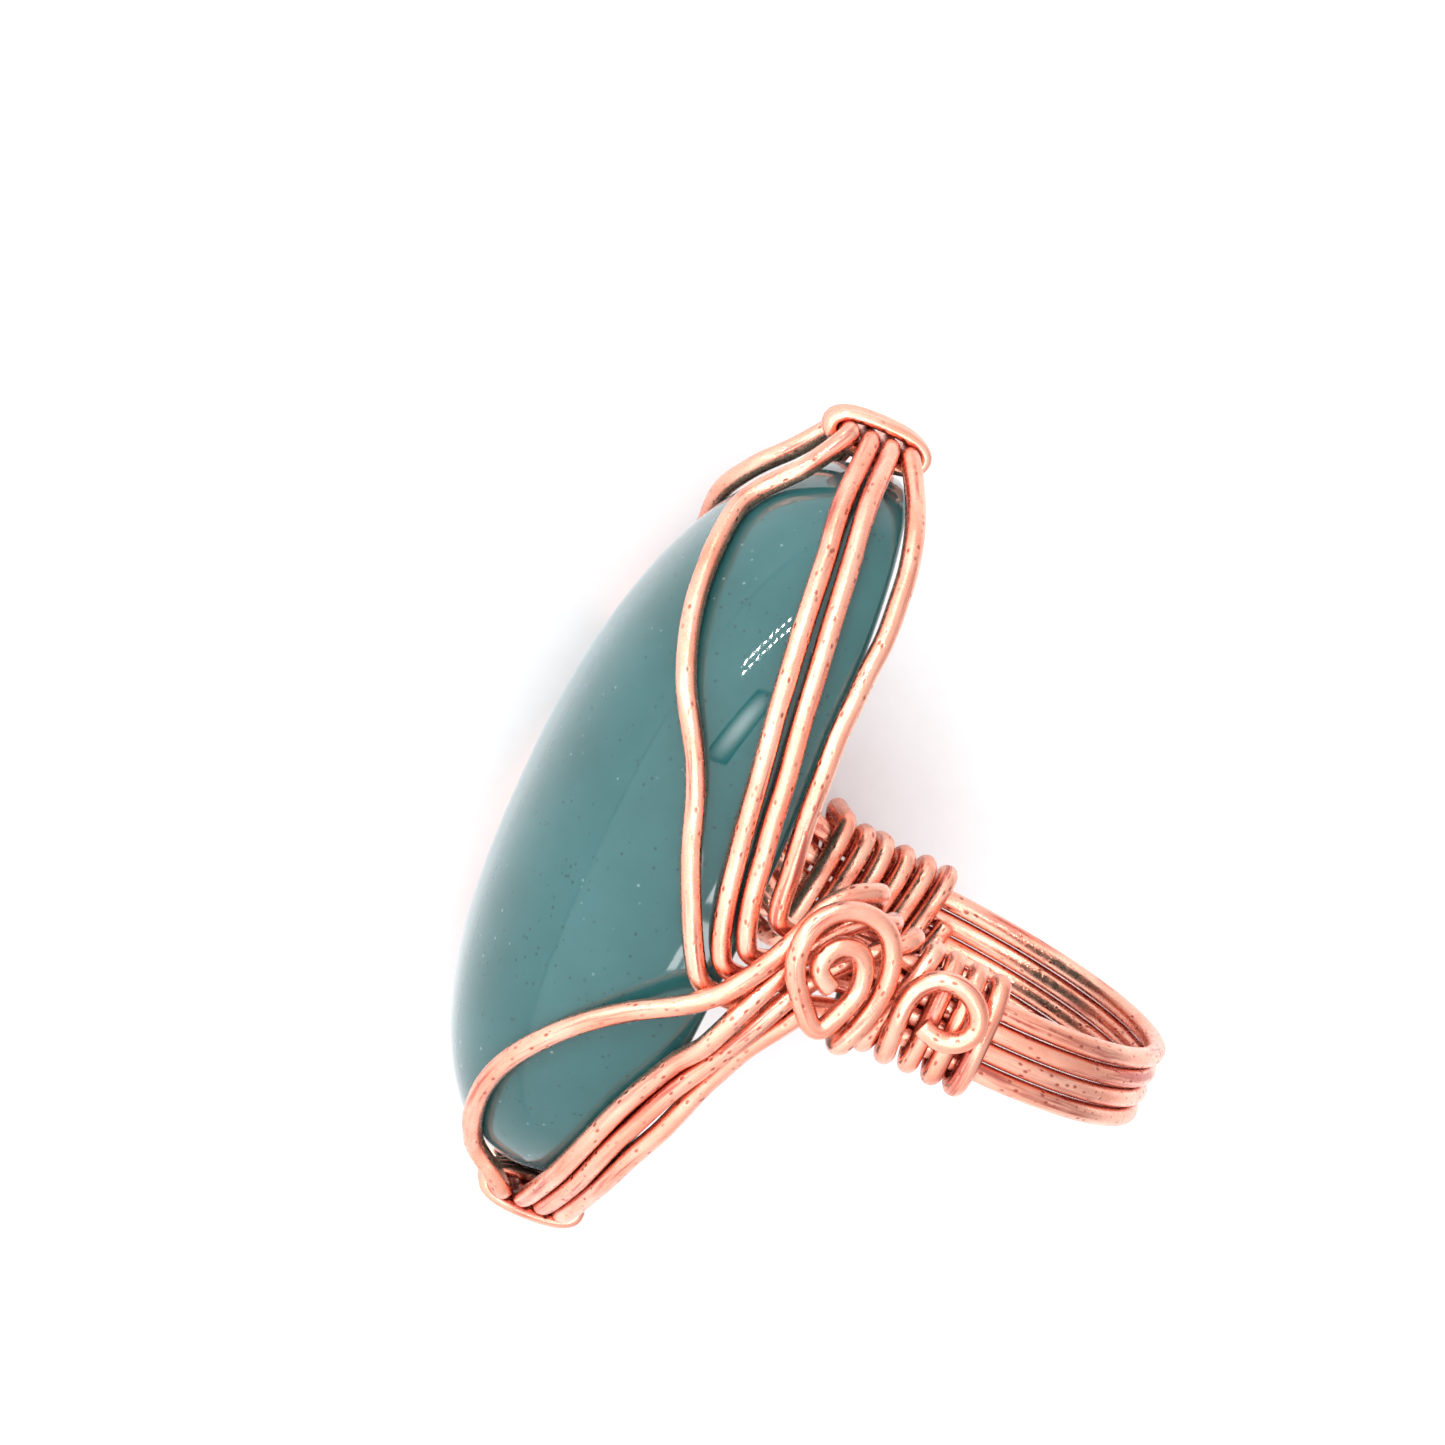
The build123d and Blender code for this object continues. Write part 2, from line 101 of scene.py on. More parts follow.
FINGER_DIAMETER = 17.2
FINGER_DROP = 11.3
SHANK_OFFSET = -2.4
SHANK_LEAN = 0.057
SHOULDER_ANGLE = 8.0
ROUND_STEPS = 8
SHANK_TOP = 7.0
FAN_RATE = 0.10
SHOULDER_OFFSET = -2.6
SHANK_RADIUS = FINGER_DIAMETER / 2 + PITCH + WIRE / 2
SHOULDER_RUN = SHANK_RADIUS * math.radians(SHOULDER_ANGLE)
ROUND_STEP = math.radians((180 + 2 * SHOULDER_ANGLE) / ROUND_STEPS)
FAN_START = SHOULDER_RUN + SHANK_RADIUS * math.tan(ROUND_STEP / 2)

TIP_HEIGHT = 2.1
TIP_RUN = 1.8
TIP_HOLD = 0.75
UPPER_SLACK = 0.2
LOWER_SLACK = 0.5
BINDING_TURNS = 3
TIP_REACH = STONE_LENGTH / 2 + THIN_WIRE + WIRE_GAP + WIRE / 2
FAR_SPREAD = 0.46

PLATE_LOW = -6.3
PLATE_HIGH = -2.0
PLATE_LOW_LAYER = 2.12
PLATE_HIGH_LAYER = 2.55

LEAN_ABOUT_Y = -16.1
LEAN_ABOUT_X = 1.7
print("finger hole", FINGER_DIAMETER, "mm, the band's wires at radius", round(SHANK_RADIUS, 2), "mm")

# %% [markdown]
# ## The stone's surface
#
# A cabochon is ground to a formula that the eye knows well: a fat oval in plan, a short upright
# wall for the setting to grip, and a dome above it. A superellipse gives the fat oval and the
# full dome with one power each. This dome leans a little to one end, as hand-cut ones do.
# Every wire that touches the stone is placed from these same functions.

# %% Points and normals of the stone
OUTLINE_END = 0.98


def signed_power(value, power):
    return math.copysign(abs(value) ** power, value)


def level_scale(height):
    """How much the stone's outline has shrunk at a height."""
    if height <= STONE_WALL:
        return 1.0
    rise = min((height - STONE_WALL) / (STONE_HEIGHT - STONE_WALL), 1.0)
    return (1.0 - rise ** DOME_POWER) ** (1.0 / DOME_POWER)


def level_centre(height):
    return -CROWN_LEAN * max(height - STONE_WALL, 0.0)


def stone_point(turn, height, scale=None):
    if scale is None:
        scale = level_scale(height)
    angle = math.radians(turn)
    x = STONE_WIDTH / 2 * scale * signed_power(math.cos(angle), 2 / OUTLINE_POWER)
    y = STONE_LENGTH / 2 * scale * signed_power(math.sin(angle), 2 / OUTLINE_POWER)
    return Vector((x, y + level_centre(height), height))


def stone_normal(point):
    across = point.x / (STONE_WIDTH / 2)
    along = (point.y - level_centre(point.z)) / (STONE_LENGTH / 2)
    rise = max(point.z - STONE_WALL, 0.0) / (STONE_HEIGHT - STONE_WALL)
    plan = abs(across) ** OUTLINE_POWER + abs(along) ** OUTLINE_POWER
    plan_rate = DOME_POWER * plan ** (DOME_POWER / OUTLINE_POWER - 1)
    slope_x = plan_rate * signed_power(across, OUTLINE_POWER - 1) / (STONE_WIDTH / 2)
    slope_y = plan_rate * signed_power(along, OUTLINE_POWER - 1) / (STONE_LENGTH / 2)
    slope_z = DOME_POWER * rise ** (DOME_POWER - 1) / (STONE_HEIGHT - STONE_WALL)
    if rise > 0:
        slope_z += CROWN_LEAN * slope_y
    return Vector((slope_x, slope_y, slope_z)).normalized()


def half_width(y):
    """Half the outline's width at a place along it, held steady just short of its ends."""
    share = min(abs(y) / (STONE_LENGTH / 2), OUTLINE_END)
    return STONE_WIDTH / 2 * (1.0 - share ** OUTLINE_POWER) ** (1.0 / OUTLINE_POWER)


print("the stone is", round(2 * half_width(0), 1), "mm wide at its middle")

# %% [markdown]
# ## From the ring's frame to the scene
#
# The ring lies on its far side, rolled back until it rests on a shoulder's spiral and on a
# strand that stands off the stone. The lean is two turns. The move that follows is read from
# the stone's solid, so that both stones share one box.

# %% Turn and move
STONE_SIDES = 64
lean_about_x = Matrix.Rotation(math.radians(LEAN_ABOUT_X), 3, "X")
lean_about_y = Matrix.Rotation(math.radians(LEAN_ABOUT_Y), 3, "Y")
laid_on_side = lean_about_x @ lean_about_y @ Matrix(((0, 0, -1), (0, 1, 0), (1, 0, 0)))


def stone_move():
    """The move that brings the turned stone's box onto the box of its solid."""
    bevel = 1.0 - 2 * STONE_BEVEL / STONE_WIDTH
    corners = []
    for height, scale in ((0.0, bevel), (STONE_BEVEL, 1.0), (STONE_WALL, 1.0)):
        for side in range(STONE_SIDES):
            corners.append(laid_on_side @ stone_point(360 * side / STONE_SIDES, height, scale))
    low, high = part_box("cabochon")
    highest = Vector([max(corner[axis] for corner in corners) for axis in range(3)])
    return Vector(high) / MM - highest


move = stone_move()


def placed(point):
    """A place of the ring's frame, in the scene's metres."""
    return (laid_on_side @ point + move) * MM


print("the stone's back lies at", [round(value, 2) for value in move], "mm")

# %% [markdown]
# ## Where the wires run
#
# Wire wrapping is drawn as routes. Each place of a route is given against what the wire really
# follows there: round the stone at a share of its height, beside the stone's back, along the
# band, or in the slanted plane of the spiral. The offsets are counted in wire pitches, because
# wires lie against wires. The far side is the near one turned half round, with its strands slid
# along the stone until they meet the band.

# %% Places along the routes
def shank_middle(z):
    return SHANK_OFFSET + SHANK_LEAN * (z + FINGER_DROP)


def on_side(far, x, y, z):
    if far:
        return Vector((-x, 2 * shank_middle(z) - y, z))
    return Vector((x, y, z))


def far_turn(turn, height):
    """Where round the stone a far wire lies, slid along it so that it meets the shank."""
    reach = STONE_LENGTH / 2 * level_scale(height)
    along = reach * signed_power(math.sin(math.radians(turn)), 2 / OUTLINE_POWER)
    middle = shank_middle(height)
    share = (along + level_centre(height) - middle) / (FAR_SPREAD * STONE_LENGTH)
    share = max(-1.0, min(1.0, share))
    slide = 2 * (level_centre(height) - middle) * math.cos(math.pi / 2 * share) ** 2
    slid = max(-1.0, min(1.0, (along + slide) / reach))
    return 180 + math.degrees(math.asin(signed_power(slid, OUTLINE_POWER / 2)))


def on_stone(far, turn, share, lift=0.0):
    height = share * STONE_HEIGHT
    if far:
        turn = far_turn(turn, height)
    base = stone_point(turn, height)
    return base + stone_normal(base) * (SEAT + lift * PITCH)


def beside(far, layer, along, up):
    y = SHOULDER_OFFSET + along * PITCH
    z = up * PITCH
    edge = half_width(2 * shank_middle(z) - y) if far else half_width(y)
    return on_side(far, edge + SEAT + layer * PITCH, y, z)


def on_band(far, run, across, layer):
    fan = 1.0 + FAN_RATE * max(run - FAN_START / PITCH, 0.0)
    inner = max(-HALF_SPREAD, min(HALF_SPREAD, across))
    spread = (inner * fan + across - inner) * PITCH
    angle = math.radians(min(run * PITCH / SHOULDER_RUN, 1.0) * SHOULDER_ANGLE)
    straight = max(run * PITCH - SHOULDER_RUN, 0.0)
    radius = SHANK_RADIUS + layer * PITCH
    x = radius * math.cos(angle) - straight * math.sin(angle)
    z = radius * math.sin(angle) + straight * math.cos(angle) - FINGER_DROP
    return on_side(far, x, shank_middle(z) + spread, z)


def on_plate(far, along, up):
    low = on_band(False, SHOULDER_RUN / PITCH, 0.0, PLATE_LOW_LAYER).x
    high = STONE_WIDTH / 2 + PLATE_HIGH_LAYER * PITCH
    z = up * PITCH
    x = low + (high - low) * (z - PLATE_LOW) / (PLATE_HIGH - PLATE_LOW)
    return on_side(far, x, SHOULDER_OFFSET + along * PITCH, z)


def tip_reach(end):
    """How far from the stone's middle its wires cross, at its upper or lower tip."""
    return TIP_REACH + (UPPER_SLACK if end > 0 else LOWER_SLACK)


def at_tip(far, strand, end, run=TIP_RUN):
    if far:
        end = -end
        run = -run
    return Vector((run, end * tip_reach(end), TIP_HEIGHT + (HALF_SPREAD - strand) * PITCH))


# %% Strands that rise from the band over one side of the stone
RISING = [
    [
        (beside, -0.5, -2.6, -1.9),
        (on_stone, -13.7, 0.06), (on_stone, -10.6, 0.16), (on_stone, -3.9, 0.27),
        (on_stone, 2.1, 0.37), (on_stone, 9.2, 0.44), (on_stone, 17.2, 0.53),
        (on_stone, 27.2, 0.63), (on_stone, 41.3, 0.69), (on_stone, 54.3, 0.70),
        (on_stone, 66.5, 0.68), (on_stone, 78, 0.63), (on_stone, 80.5, 0.53),
        (on_stone, 80.5, 0.42, 0.3),
    ],
    [
        (beside, -0.5, -1.3, -1.8),
        (on_stone, -10.3, 0.035), (on_stone, -3.5, 0.135), (on_stone, 1.2, 0.18),
        (on_stone, 5.1, 0.205), (on_stone, 12.2, 0.235), (on_stone, 20.2, 0.265),
        (on_stone, 28.2, 0.285), (on_stone, 38.2, 0.30), (on_stone, 51.3, 0.30),
        (on_stone, 67.5, 0.29, 0.1),
    ],
    [
        (beside, -0.6, -0.1, -2.0),
        (on_stone, -7.4, -0.04), (on_stone, -2, 0.045), (on_stone, 2.9, 0.082),
        (on_stone, 6.8, 0.105), (on_stone, 13.6, 0.13), (on_stone, 20.4, 0.16),
        (on_stone, 28.3, 0.18), (on_stone, 39.2, 0.195), (on_stone, 52.3, 0.20),
        (on_stone, 68.5, 0.19, 0.1),
    ],
    [
        (beside, -1.0, 1.6, -3.0), (on_stone, -2.6, -0.095), (on_stone, 2.5, -0.055),
        (on_stone, 9.8, -0.02), (on_stone, 15.9, -0.01), (on_stone, 22, 0.0), (on_stone, 27.2, -0.01),
        (on_stone, 33.5, -0.02), (on_stone, 39.5, -0.04), (on_stone, 47.5, -0.04),
        (on_stone, 54.5, -0.04), (on_stone, 64.5, -0.02, 0.1), (on_stone, 76.5, 0.01, 0.2),
    ],
]
print("rising strands:", len(RISING))

# %% Strands that come down from the lower tip and cross the shoulder
CROSSING = [
    [
        (on_stone, -80, 0.43, 0.3), (on_stone, -77.9, 0.54), (on_stone, -66.5, 0.62),
        (on_stone, -54.7, 0.66), (on_stone, -43.7, 0.65), (on_stone, -34.8, 0.60),
        (on_stone, -27.8, 0.52), (on_stone, -22.8, 0.42, 0.1), (on_stone, -18.8, 0.29, 0.5),
        (on_stone, -15.9, 0.14, 1.0),
        (beside, 1.1, -2.25, 0.2), (beside, 1.15, -1.2, -0.5), (beside, 1.1, 0.0, -1.2),
        (beside, 0.9, 1.6, -1.95), (beside, 0.5, 3.3, -2.6), (beside, 0.1, 4.2, -3.6),
    ],
    [
        (on_stone, -65.5, 0.242, 0.1), (on_stone, -49.7, 0.21), (on_stone, -39.4, 0.16),
        (on_stone, -31.8, 0.10), (on_stone, -25.2, 0.035, 0.2), (on_stone, -20.7, -0.025, 0.85),
        (beside, 1.0, -2.8, -0.95), (beside, 0.7, -1.3, -1.6), (beside, 0.4, 0.2, -2.25),
        (beside, 0.15, 1.7, -3.15), (beside, -0.25, 3.3, -4.5),
    ],
    [
        (on_stone, -65.2, 0.13, 0.1), (on_stone, -50.5, 0.11), (on_stone, -40.1, 0.06),
        (on_stone, -31.6, 0.0), (on_stone, -25.5, -0.07, 0.1),
        (beside, 0.4, -4.4, -1.45), (beside, 0.4, -2.8, -2.15), (beside, 0.2, -1.3, -2.85),
        (beside, -0.05, 0.35, -3.9), (beside, -0.4, 1.8, -5.4),
    ],
    [
        (on_stone, -72.5, 0.04, 0.1), (on_stone, -60.5, 0.03), (on_stone, -48.5, 0.0),
        (on_stone, -39.5, -0.055), (on_stone, -31.5, -0.11, -0.4), (on_stone, -25.5, -0.165, -0.6),
        (beside, -0.35, -4.4, -2.25), (beside, -0.15, -2.9, -3.1), (beside, 0.0, -1.4, -4.0),
    ],
]
print("crossing strands:", len(CROSSING))

# %% [markdown]
# The ring lies on its far side, on the spiral there and on the top strand that rises beside it.
# The far side's two top strands run higher up the dome than their twins on the near side, and
# they stand off the stone.

# %% The far side's top strands
FAR_TOP_RISING = [
    (beside, -0.5, -2.6, -1.9),
    (on_stone, -13.7, 0.06), (on_stone, -12.5, 0.20), (on_stone, -10.5, 0.38, 0.2),
    (on_stone, -7, 0.54, 0.6), (on_stone, -1.5, 0.66, 1.05), (on_stone, 6, 0.70, 1.2),
    (on_stone, 16, 0.71, 1.1), (on_stone, 28, 0.70, 0.6), (on_stone, 42, 0.67, 0.15),
    (on_stone, 54.3, 0.60), (on_stone, 66.5, 0.52), (on_stone, 77, 0.455, 0.1),
    (on_stone, 80.5, 0.40, 0.3),
]
FAR_TOP_CROSSING = [
    (on_stone, -80, 0.43, 0.3), (on_stone, -77.9, 0.54, 0.15), (on_stone, -66.5, 0.62, 0.1),
    (on_stone, -54.7, 0.61), (on_stone, -43.7, 0.575, 0.15), (on_stone, -34.8, 0.575, 0.7),
    (on_stone, -26.5, 0.60, 1.2), (on_stone, -21, 0.615, 1.35), (on_stone, -18, 0.54, 0.9),
    (on_stone, -16.6, 0.40, 0.6), (on_stone, -15.7, 0.26, 0.75), (on_stone, -15.2, 0.14, 1.0),
    (beside, 1.1, -2.25, 0.2), (beside, 1.15, -1.2, -0.5), (beside, 1.1, 0.0, -1.2),
    (beside, 0.9, 1.6, -1.95), (beside, 0.5, 3.3, -2.6), (beside, 0.1, 4.2, -3.6),
]

# %% The ends of the crossing strands: spiral, wraps, curl, and a plain tucked end
SPIRAL = [
    (on_band, 6.46, 3.5, 0.9), (on_band, 6.46, 3.0, -1.0),
    (on_band, 5.66, -2.6, -1.0), (on_band, 5.66, -2.6, 0.7),
    (on_plate, -2.4, -5.6), (on_plate, -0.9, -6.2), (on_plate, 0.65, -6.45),
    (on_plate, 2.2, -6.25), (on_plate, 3.45, -5.5), (on_plate, 3.9, -4.15),
    (on_plate, 3.5, -2.8), (on_plate, 2.4, -1.95), (on_plate, 0.6, -1.95),
    (on_plate, -0.75, -2.9), (on_plate, -2.25, -4.35), (on_plate, -0.7, -5.05),
    (on_plate, 0.45, -5.4), (on_plate, 1.65, -5.1), (on_plate, 2.25, -4.45),
    (on_plate, 2.0, -3.45), (on_plate, 1.0, -3.05), (on_plate, 0.35, -3.45),
    (on_plate, 0.1, -4.05),
]
WRAPS = [(on_band, *row) for row in (
    (5.4, 2.55, 1.05), (5.4, 2.55, -1.05),
    (4.44, -2.55, -1.05), (4.44, -2.55, 1.05),
    (3.13, 2.55, 1.05), (3.13, 2.55, -1.05),
    (2.17, -2.55, -1.05), (2.17, -2.55, 1.05),
    (2.12, 2.55, 1.05), (2.12, 2.55, -1.05),
    (0.99, -2.55, -1.05), (0.99, -2.55, 1.05),
    (0.99, 2.55, 1.05), (0.99, 2.55, -1.05),
    (-0.15, -2.55, -1.05), (-0.15, -2.55, 1.05),
    (-0.15, 2.55, 1.05), (-0.15, 2.55, -1.05),
    (-1.0, -0.5, -1.05),
)]
CURL = [(on_band, *row) for row in (
    (4.24, 2.55, 1.05), (4.24, 2.55, -1.05),
    (3.33, -2.55, -1.05), (3.33, -2.65, 1.3),
    (3.54, -1.0, 2.1), (3.54, 0.45, 2.1), (3.13, 1.4, 2.1),
    (2.32, 2.0, 2.1), (1.21, 2.0, 2.1), (0.5, 1.35, 2.1),
    (0.3, 0.45, 2.1), (0.76, -0.4, 2.1), (1.57, -0.7, 2.1),
    (2.42, -0.4, 2.1),
)]
ENDINGS = [SPIRAL, WRAPS, CURL, []]

# Half the spread of the strands side by side, in wire pitches
HALF_SPREAD = (len(RISING) - 1) / 2

# %% [markdown]
# One long wire is a chain of these routes. It starts in a shoulder's ornament, crosses the near
# side of the stone, goes round the lower tip, comes down the far side to the band, passes under
# the finger, and does the same again the other way round.

# %% Long wires
# A cubic through four points, read halfway between the inner two, weighs them like this
INNER_WEIGHT = 9 / 16
OUTER_WEIGHT = 1 / 16


def places(rows, far):
    return [row[0](far, *row[1:]) for row in rows]


def eased(points):
    """Adds a point halfway along each inner run, bowed as its neighbours are bent."""
    full = points[:2]
    for before, start, end, after in zip(points, points[1:], points[2:], points[3:]):
        full.append((start + end) * INNER_WEIGHT - (before + after) * OUTER_WEIGHT)
        full.append(end)
    return full + points[-1:]


def rising_points(far, strand):
    rows = FAR_TOP_RISING if far and strand == 0 else RISING[strand]
    across = strand - HALF_SPREAD
    start = [on_band(far, run / PITCH, across, 0.0) for run in (FAN_START, SHANK_TOP)]
    rise = eased(places(rows, far) + [at_tip(far, strand, 1)])
    return start + rise + [at_tip(far, strand, 1, TIP_HOLD)]


def crossing_points(far, strand):
    rows = FAR_TOP_CROSSING if far and strand == 0 else CROSSING[strand]
    start = [at_tip(far, strand, -1, TIP_HOLD)]
    crossing = [at_tip(far, strand, -1)] + places(rows, far)
    return start + eased(crossing) + places(ENDINGS[strand], far)


def shank_points(strand):
    radius = SHANK_RADIUS / math.cos(ROUND_STEP / 2)
    points = []
    for corner in range(ROUND_STEPS):
        angle = math.radians(SHOULDER_ANGLE) - (corner + 0.5) * ROUND_STEP
        z = radius * math.sin(angle) - FINGER_DROP
        y = shank_middle(z) + (strand - HALF_SPREAD) * PITCH
        points.append(Vector((radius * math.cos(angle), y, z)))
    return points


def long_wire_points(strand):
    partner = len(RISING) - 1 - strand
    points = crossing_points(False, partner)[::-1]
    points += rising_points(True, partner)[::-1]
    points += shank_points(strand)[::-1]
    points += rising_points(False, strand)
    return points + crossing_points(True, strand)


# %% Bindings
def binding_points(end):
    """A flat coil round the four wires of a tip."""
    reach = tip_reach(end) * end
    around = WIRE / 2 + WIRE_GAP + THIN_WIRE / 2
    half_height = HALF_SPREAD * PITCH + around
    low = TIP_HEIGHT - half_height
    high = TIP_HEIGHT + half_height
    inside = reach - end * around
    outside = reach + end * around
    advance = THIN_WIRE + WIRE_GAP
    x = -advance * (BINDING_TURNS - 1) / 2
    points = [Vector((x, inside, TIP_HEIGHT)), Vector((x, inside, high))]
    for turn in range(BINDING_TURNS):
        points += [Vector((x, outside, high)), Vector((x, outside, low)), Vector((x, inside, low))]
        x += advance
        if turn < BINDING_TURNS - 1:
            points.append(Vector((x, inside, high)))
    points.append(Vector((x - advance, inside, TIP_HEIGHT - THIN_WIRE / 2)))
    return points


# %% [markdown]
# ## Bending the wire
#
# A wire bent by hand has no corners. The route's points become the control points of a NURBS
# spline of order 3, which runs smoothly past each of them, and Blender gives back close-set
# points along it. A tube is then built round those points by hand instead of with the curve's
# own bevel, because the surface needs to know how far along and how far round the wire it is:
# drawing marks run lengthwise, whichever way the wire is bent.

# %% Smooth middle lines
LINE_STEPS = 8
SAME_SPOT = 0.01


def middle_line(name, points):
    """Close-set points along the route's spline, in the ring's frame."""
    curve = bpy.data.curves.new(name, "CURVE")
    curve.dimensions = "3D"
    spline = curve.splines.new("NURBS")
    spline.points.add(len(points) - 1)
    for control, point in zip(spline.points, points):
        control.co = (*point, 1.0)
    spline.order_u = 3
    spline.use_endpoint_u = True
    spline.resolution_u = LINE_STEPS
    holder = bpy.data.objects.new(name, curve)
    drawn = bpy.data.meshes.new_from_object(holder)
    smooth = [vertex.co.copy() for vertex in drawn.vertices]
    bpy.data.objects.remove(holder)
    bpy.data.meshes.remove(drawn)
    bpy.data.curves.remove(curve)
    pairs = zip(smooth, smooth[1:])
    return smooth[:1] + [here for before, here in pairs if (here - before).length > SAME_SPOT]


long_lines = {
    f"long_wire_{strand + 1}": middle_line(f"line_{strand + 1}", long_wire_points(strand))
    for strand in range(len(RISING))
}
binding_lines = {
    "upper_binding": middle_line("upper_line", binding_points(1)),
    "lower_binding": middle_line("lower_line", binding_points(-1)),
}
all_lines = {**long_lines, **binding_lines}
for name, line in all_lines.items():
    run = sum((b - a).length for a, b in zip(line, line[1:]))
    print(name, "is", round(run, 1), "mm long, drawn through", len(line), "points")

# %% [markdown]
# ## How near the next surface is
#
# Where wires touch each other or the stone, old polish, oxide and finger grease stay behind and
# the copper is painted a darker red brown. This darkening is also painted shade, for the shade
# that falls into these crevices. A tree of all the middle lines answers how far each spot is
# from the next wire, and the stone's own formula how far it is from the stone. The answer is
# stored on the mesh as an attribute that the material reads.

# %% Tree of the middle lines
tree_points = []
for name, line in all_lines.items():
    run = 0.0
    for before, here in zip([line[0]] + line, line):
        run += (here - before).length
        tree_points.append((here, name, run))
line_tree = KDTree(len(tree_points))
for index, (point, name, run) in enumerate(tree_points):
    line_tree.insert(point, index)
line_tree.balance()

OTHER_STRETCH = 2.5
CREVICE_REACH = 0.30
CREVICE_FALL = 1.5
NEAR_STONE = 1.0
SMALLEST_SCALE = 0.05


def closeness(point, name, run):
    """1 where another stretch of wire, or the stone, touches this spot, falling to 0."""
    nearest = CREVICE_REACH
    for _, index, distance in line_tree.find_range(point, WIRE / 2 + CREVICE_REACH):
        other_name, other_run = tree_points[index][1:]
        if other_name == name and abs(other_run - run) < OTHER_STRETCH:
            continue
        radius = THIN_WIRE / 2 if "binding" in other_name else WIRE / 2
        nearest = min(nearest, max(distance - radius, 0.0))
    nearest = min(nearest, stone_distance(point))
    return (1.0 - nearest / CREVICE_REACH) ** CREVICE_FALL


def stone_distance(point):
    """Roughly how far a spot lies off the stone."""
    if point.z < -NEAR_STONE or point.z > STONE_HEIGHT + NEAR_STONE:
        return CREVICE_REACH
    height = max(point.z, 0.0)
    scale = max(level_scale(height), SMALLEST_SCALE)
    across = abs(point.x) / (STONE_WIDTH / 2 * scale)
    along = abs(point.y - level_centre(height)) / (STONE_LENGTH / 2 * scale)
    share = (across ** OUTLINE_POWER + along ** OUTLINE_POWER) ** (1 / OUTLINE_POWER)
    off = (share - 1.0) * math.hypot(point.x, point.y) / max(share, SMALLEST_SCALE)
    return max(off - min(point.z, 0.0), 0.0)


print("places in the tree:", len(tree_points))

# %% [markdown]
# ## Drawn wire as a mesh
#
# Drawn wire is round to a hundredth of a millimetre, but handled wire isn't: pliers leave small
# flats and the cut ends are nipped square with a slightly rounded rim. The tube's rings turn as
# little as possible from one to the next, so that nothing twists, and a few shallow flats are
# pressed in along its length.

# %% Helpers for meshes
def ring_faces(rings, sides):
    """The four-cornered faces between rings of vertices that follow each other."""
    faces = []
    for ring in range(rings - 1):
        for side in range(sides):
            start = ring * sides + side
            after = ring * sides + (side + 1) % sides
            faces.append((start, after, after + sides, start + sides))
    return faces


def added_mesh(name, vertices, faces):
    """A mesh in the scene, on an object of the same name."""
    mesh = bpy.data.meshes.new(name)
    mesh.from_pydata(vertices, [], faces)
    mesh.update()
    piece = bpy.data.objects.new(name, mesh)
    bpy.context.scene.collection.objects.link(piece)
    return piece


# %% Plier flats
FLAT_SPACING = 7.3
FLAT_SHIFT = 0.6
FLAT_LENGTH = 0.8
FLAT_DEPTH = 0.035
FLAT_NARROWNESS = 6
# Large numbers of no meaning, which scatter the flats along and round the wire
SCATTER_STEP = 12.9898
SCATTER_SIZE = 43758.5453
TURN_SCATTER = 7.1


def fraction(value):
    return value - math.floor(value)


def plier_flat(run, angle, seed):
    """How deep a flat is pressed in at a place along and round the wire."""
    number = math.floor(run / FLAT_SPACING + 0.5)
    scatter = math.sin(SCATTER_STEP * number + seed) * SCATTER_SIZE
    shift = (fraction(scatter) - 0.5) * FLAT_SPACING * FLAT_SHIFT
    turn = math.tau * fraction(scatter * TURN_SCATTER)
    off = (run - number * FLAT_SPACING - shift) / FLAT_LENGTH
    facing = max(math.cos(angle - turn), 0.0)
    return FLAT_DEPTH * math.exp(-off * off) * facing ** FLAT_NARROWNESS


# %% Tubes
TUBE_SIDES = 18
RIM_LENGTH = 0.06
RIM_SHARE = 0.86
# Each wire starts this much further along in the noises, so that no two look alike
WIRE_SPACE_STEP = 40


def turned_frames(line):
    """A direction across the wire at each point, carried along with no twist."""
    ahead = [(b - a).normalized() for a, b in zip(line, line[1:])]
    ahead.append(ahead[-1])
    along = [ahead[0]] + [(a + b).normalized() for a, b in zip(ahead, ahead[1:])]
    across = along[0].orthogonal().normalized()
    frames = []
    for direction in along:
        across = (across - direction * across.dot(direction)).normalized()
        frames.append((across.copy(), direction.cross(across)))
    return frames


def tube_rings(line, diameter):
    """Each ring's middle, its two directions, its place along the wire and its share of the radius."""
    rings = []
    run = 0.0
    for before, point, (across, up) in zip(line[:1] + line, line, turned_frames(line)):
        run += (point - before).length
        rings.append((point, across, up, run, 1.0))
    start = line[0] + (line[0] - line[1]).normalized() * diameter * RIM_LENGTH
    end = line[-1] + (line[-1] - line[-2]).normalized() * diameter * RIM_LENGTH
    rings.insert(0, (start, *rings[0][1:4], RIM_SHARE))
    rings.append((end, *rings[-1][1:4], RIM_SHARE))
    return rings


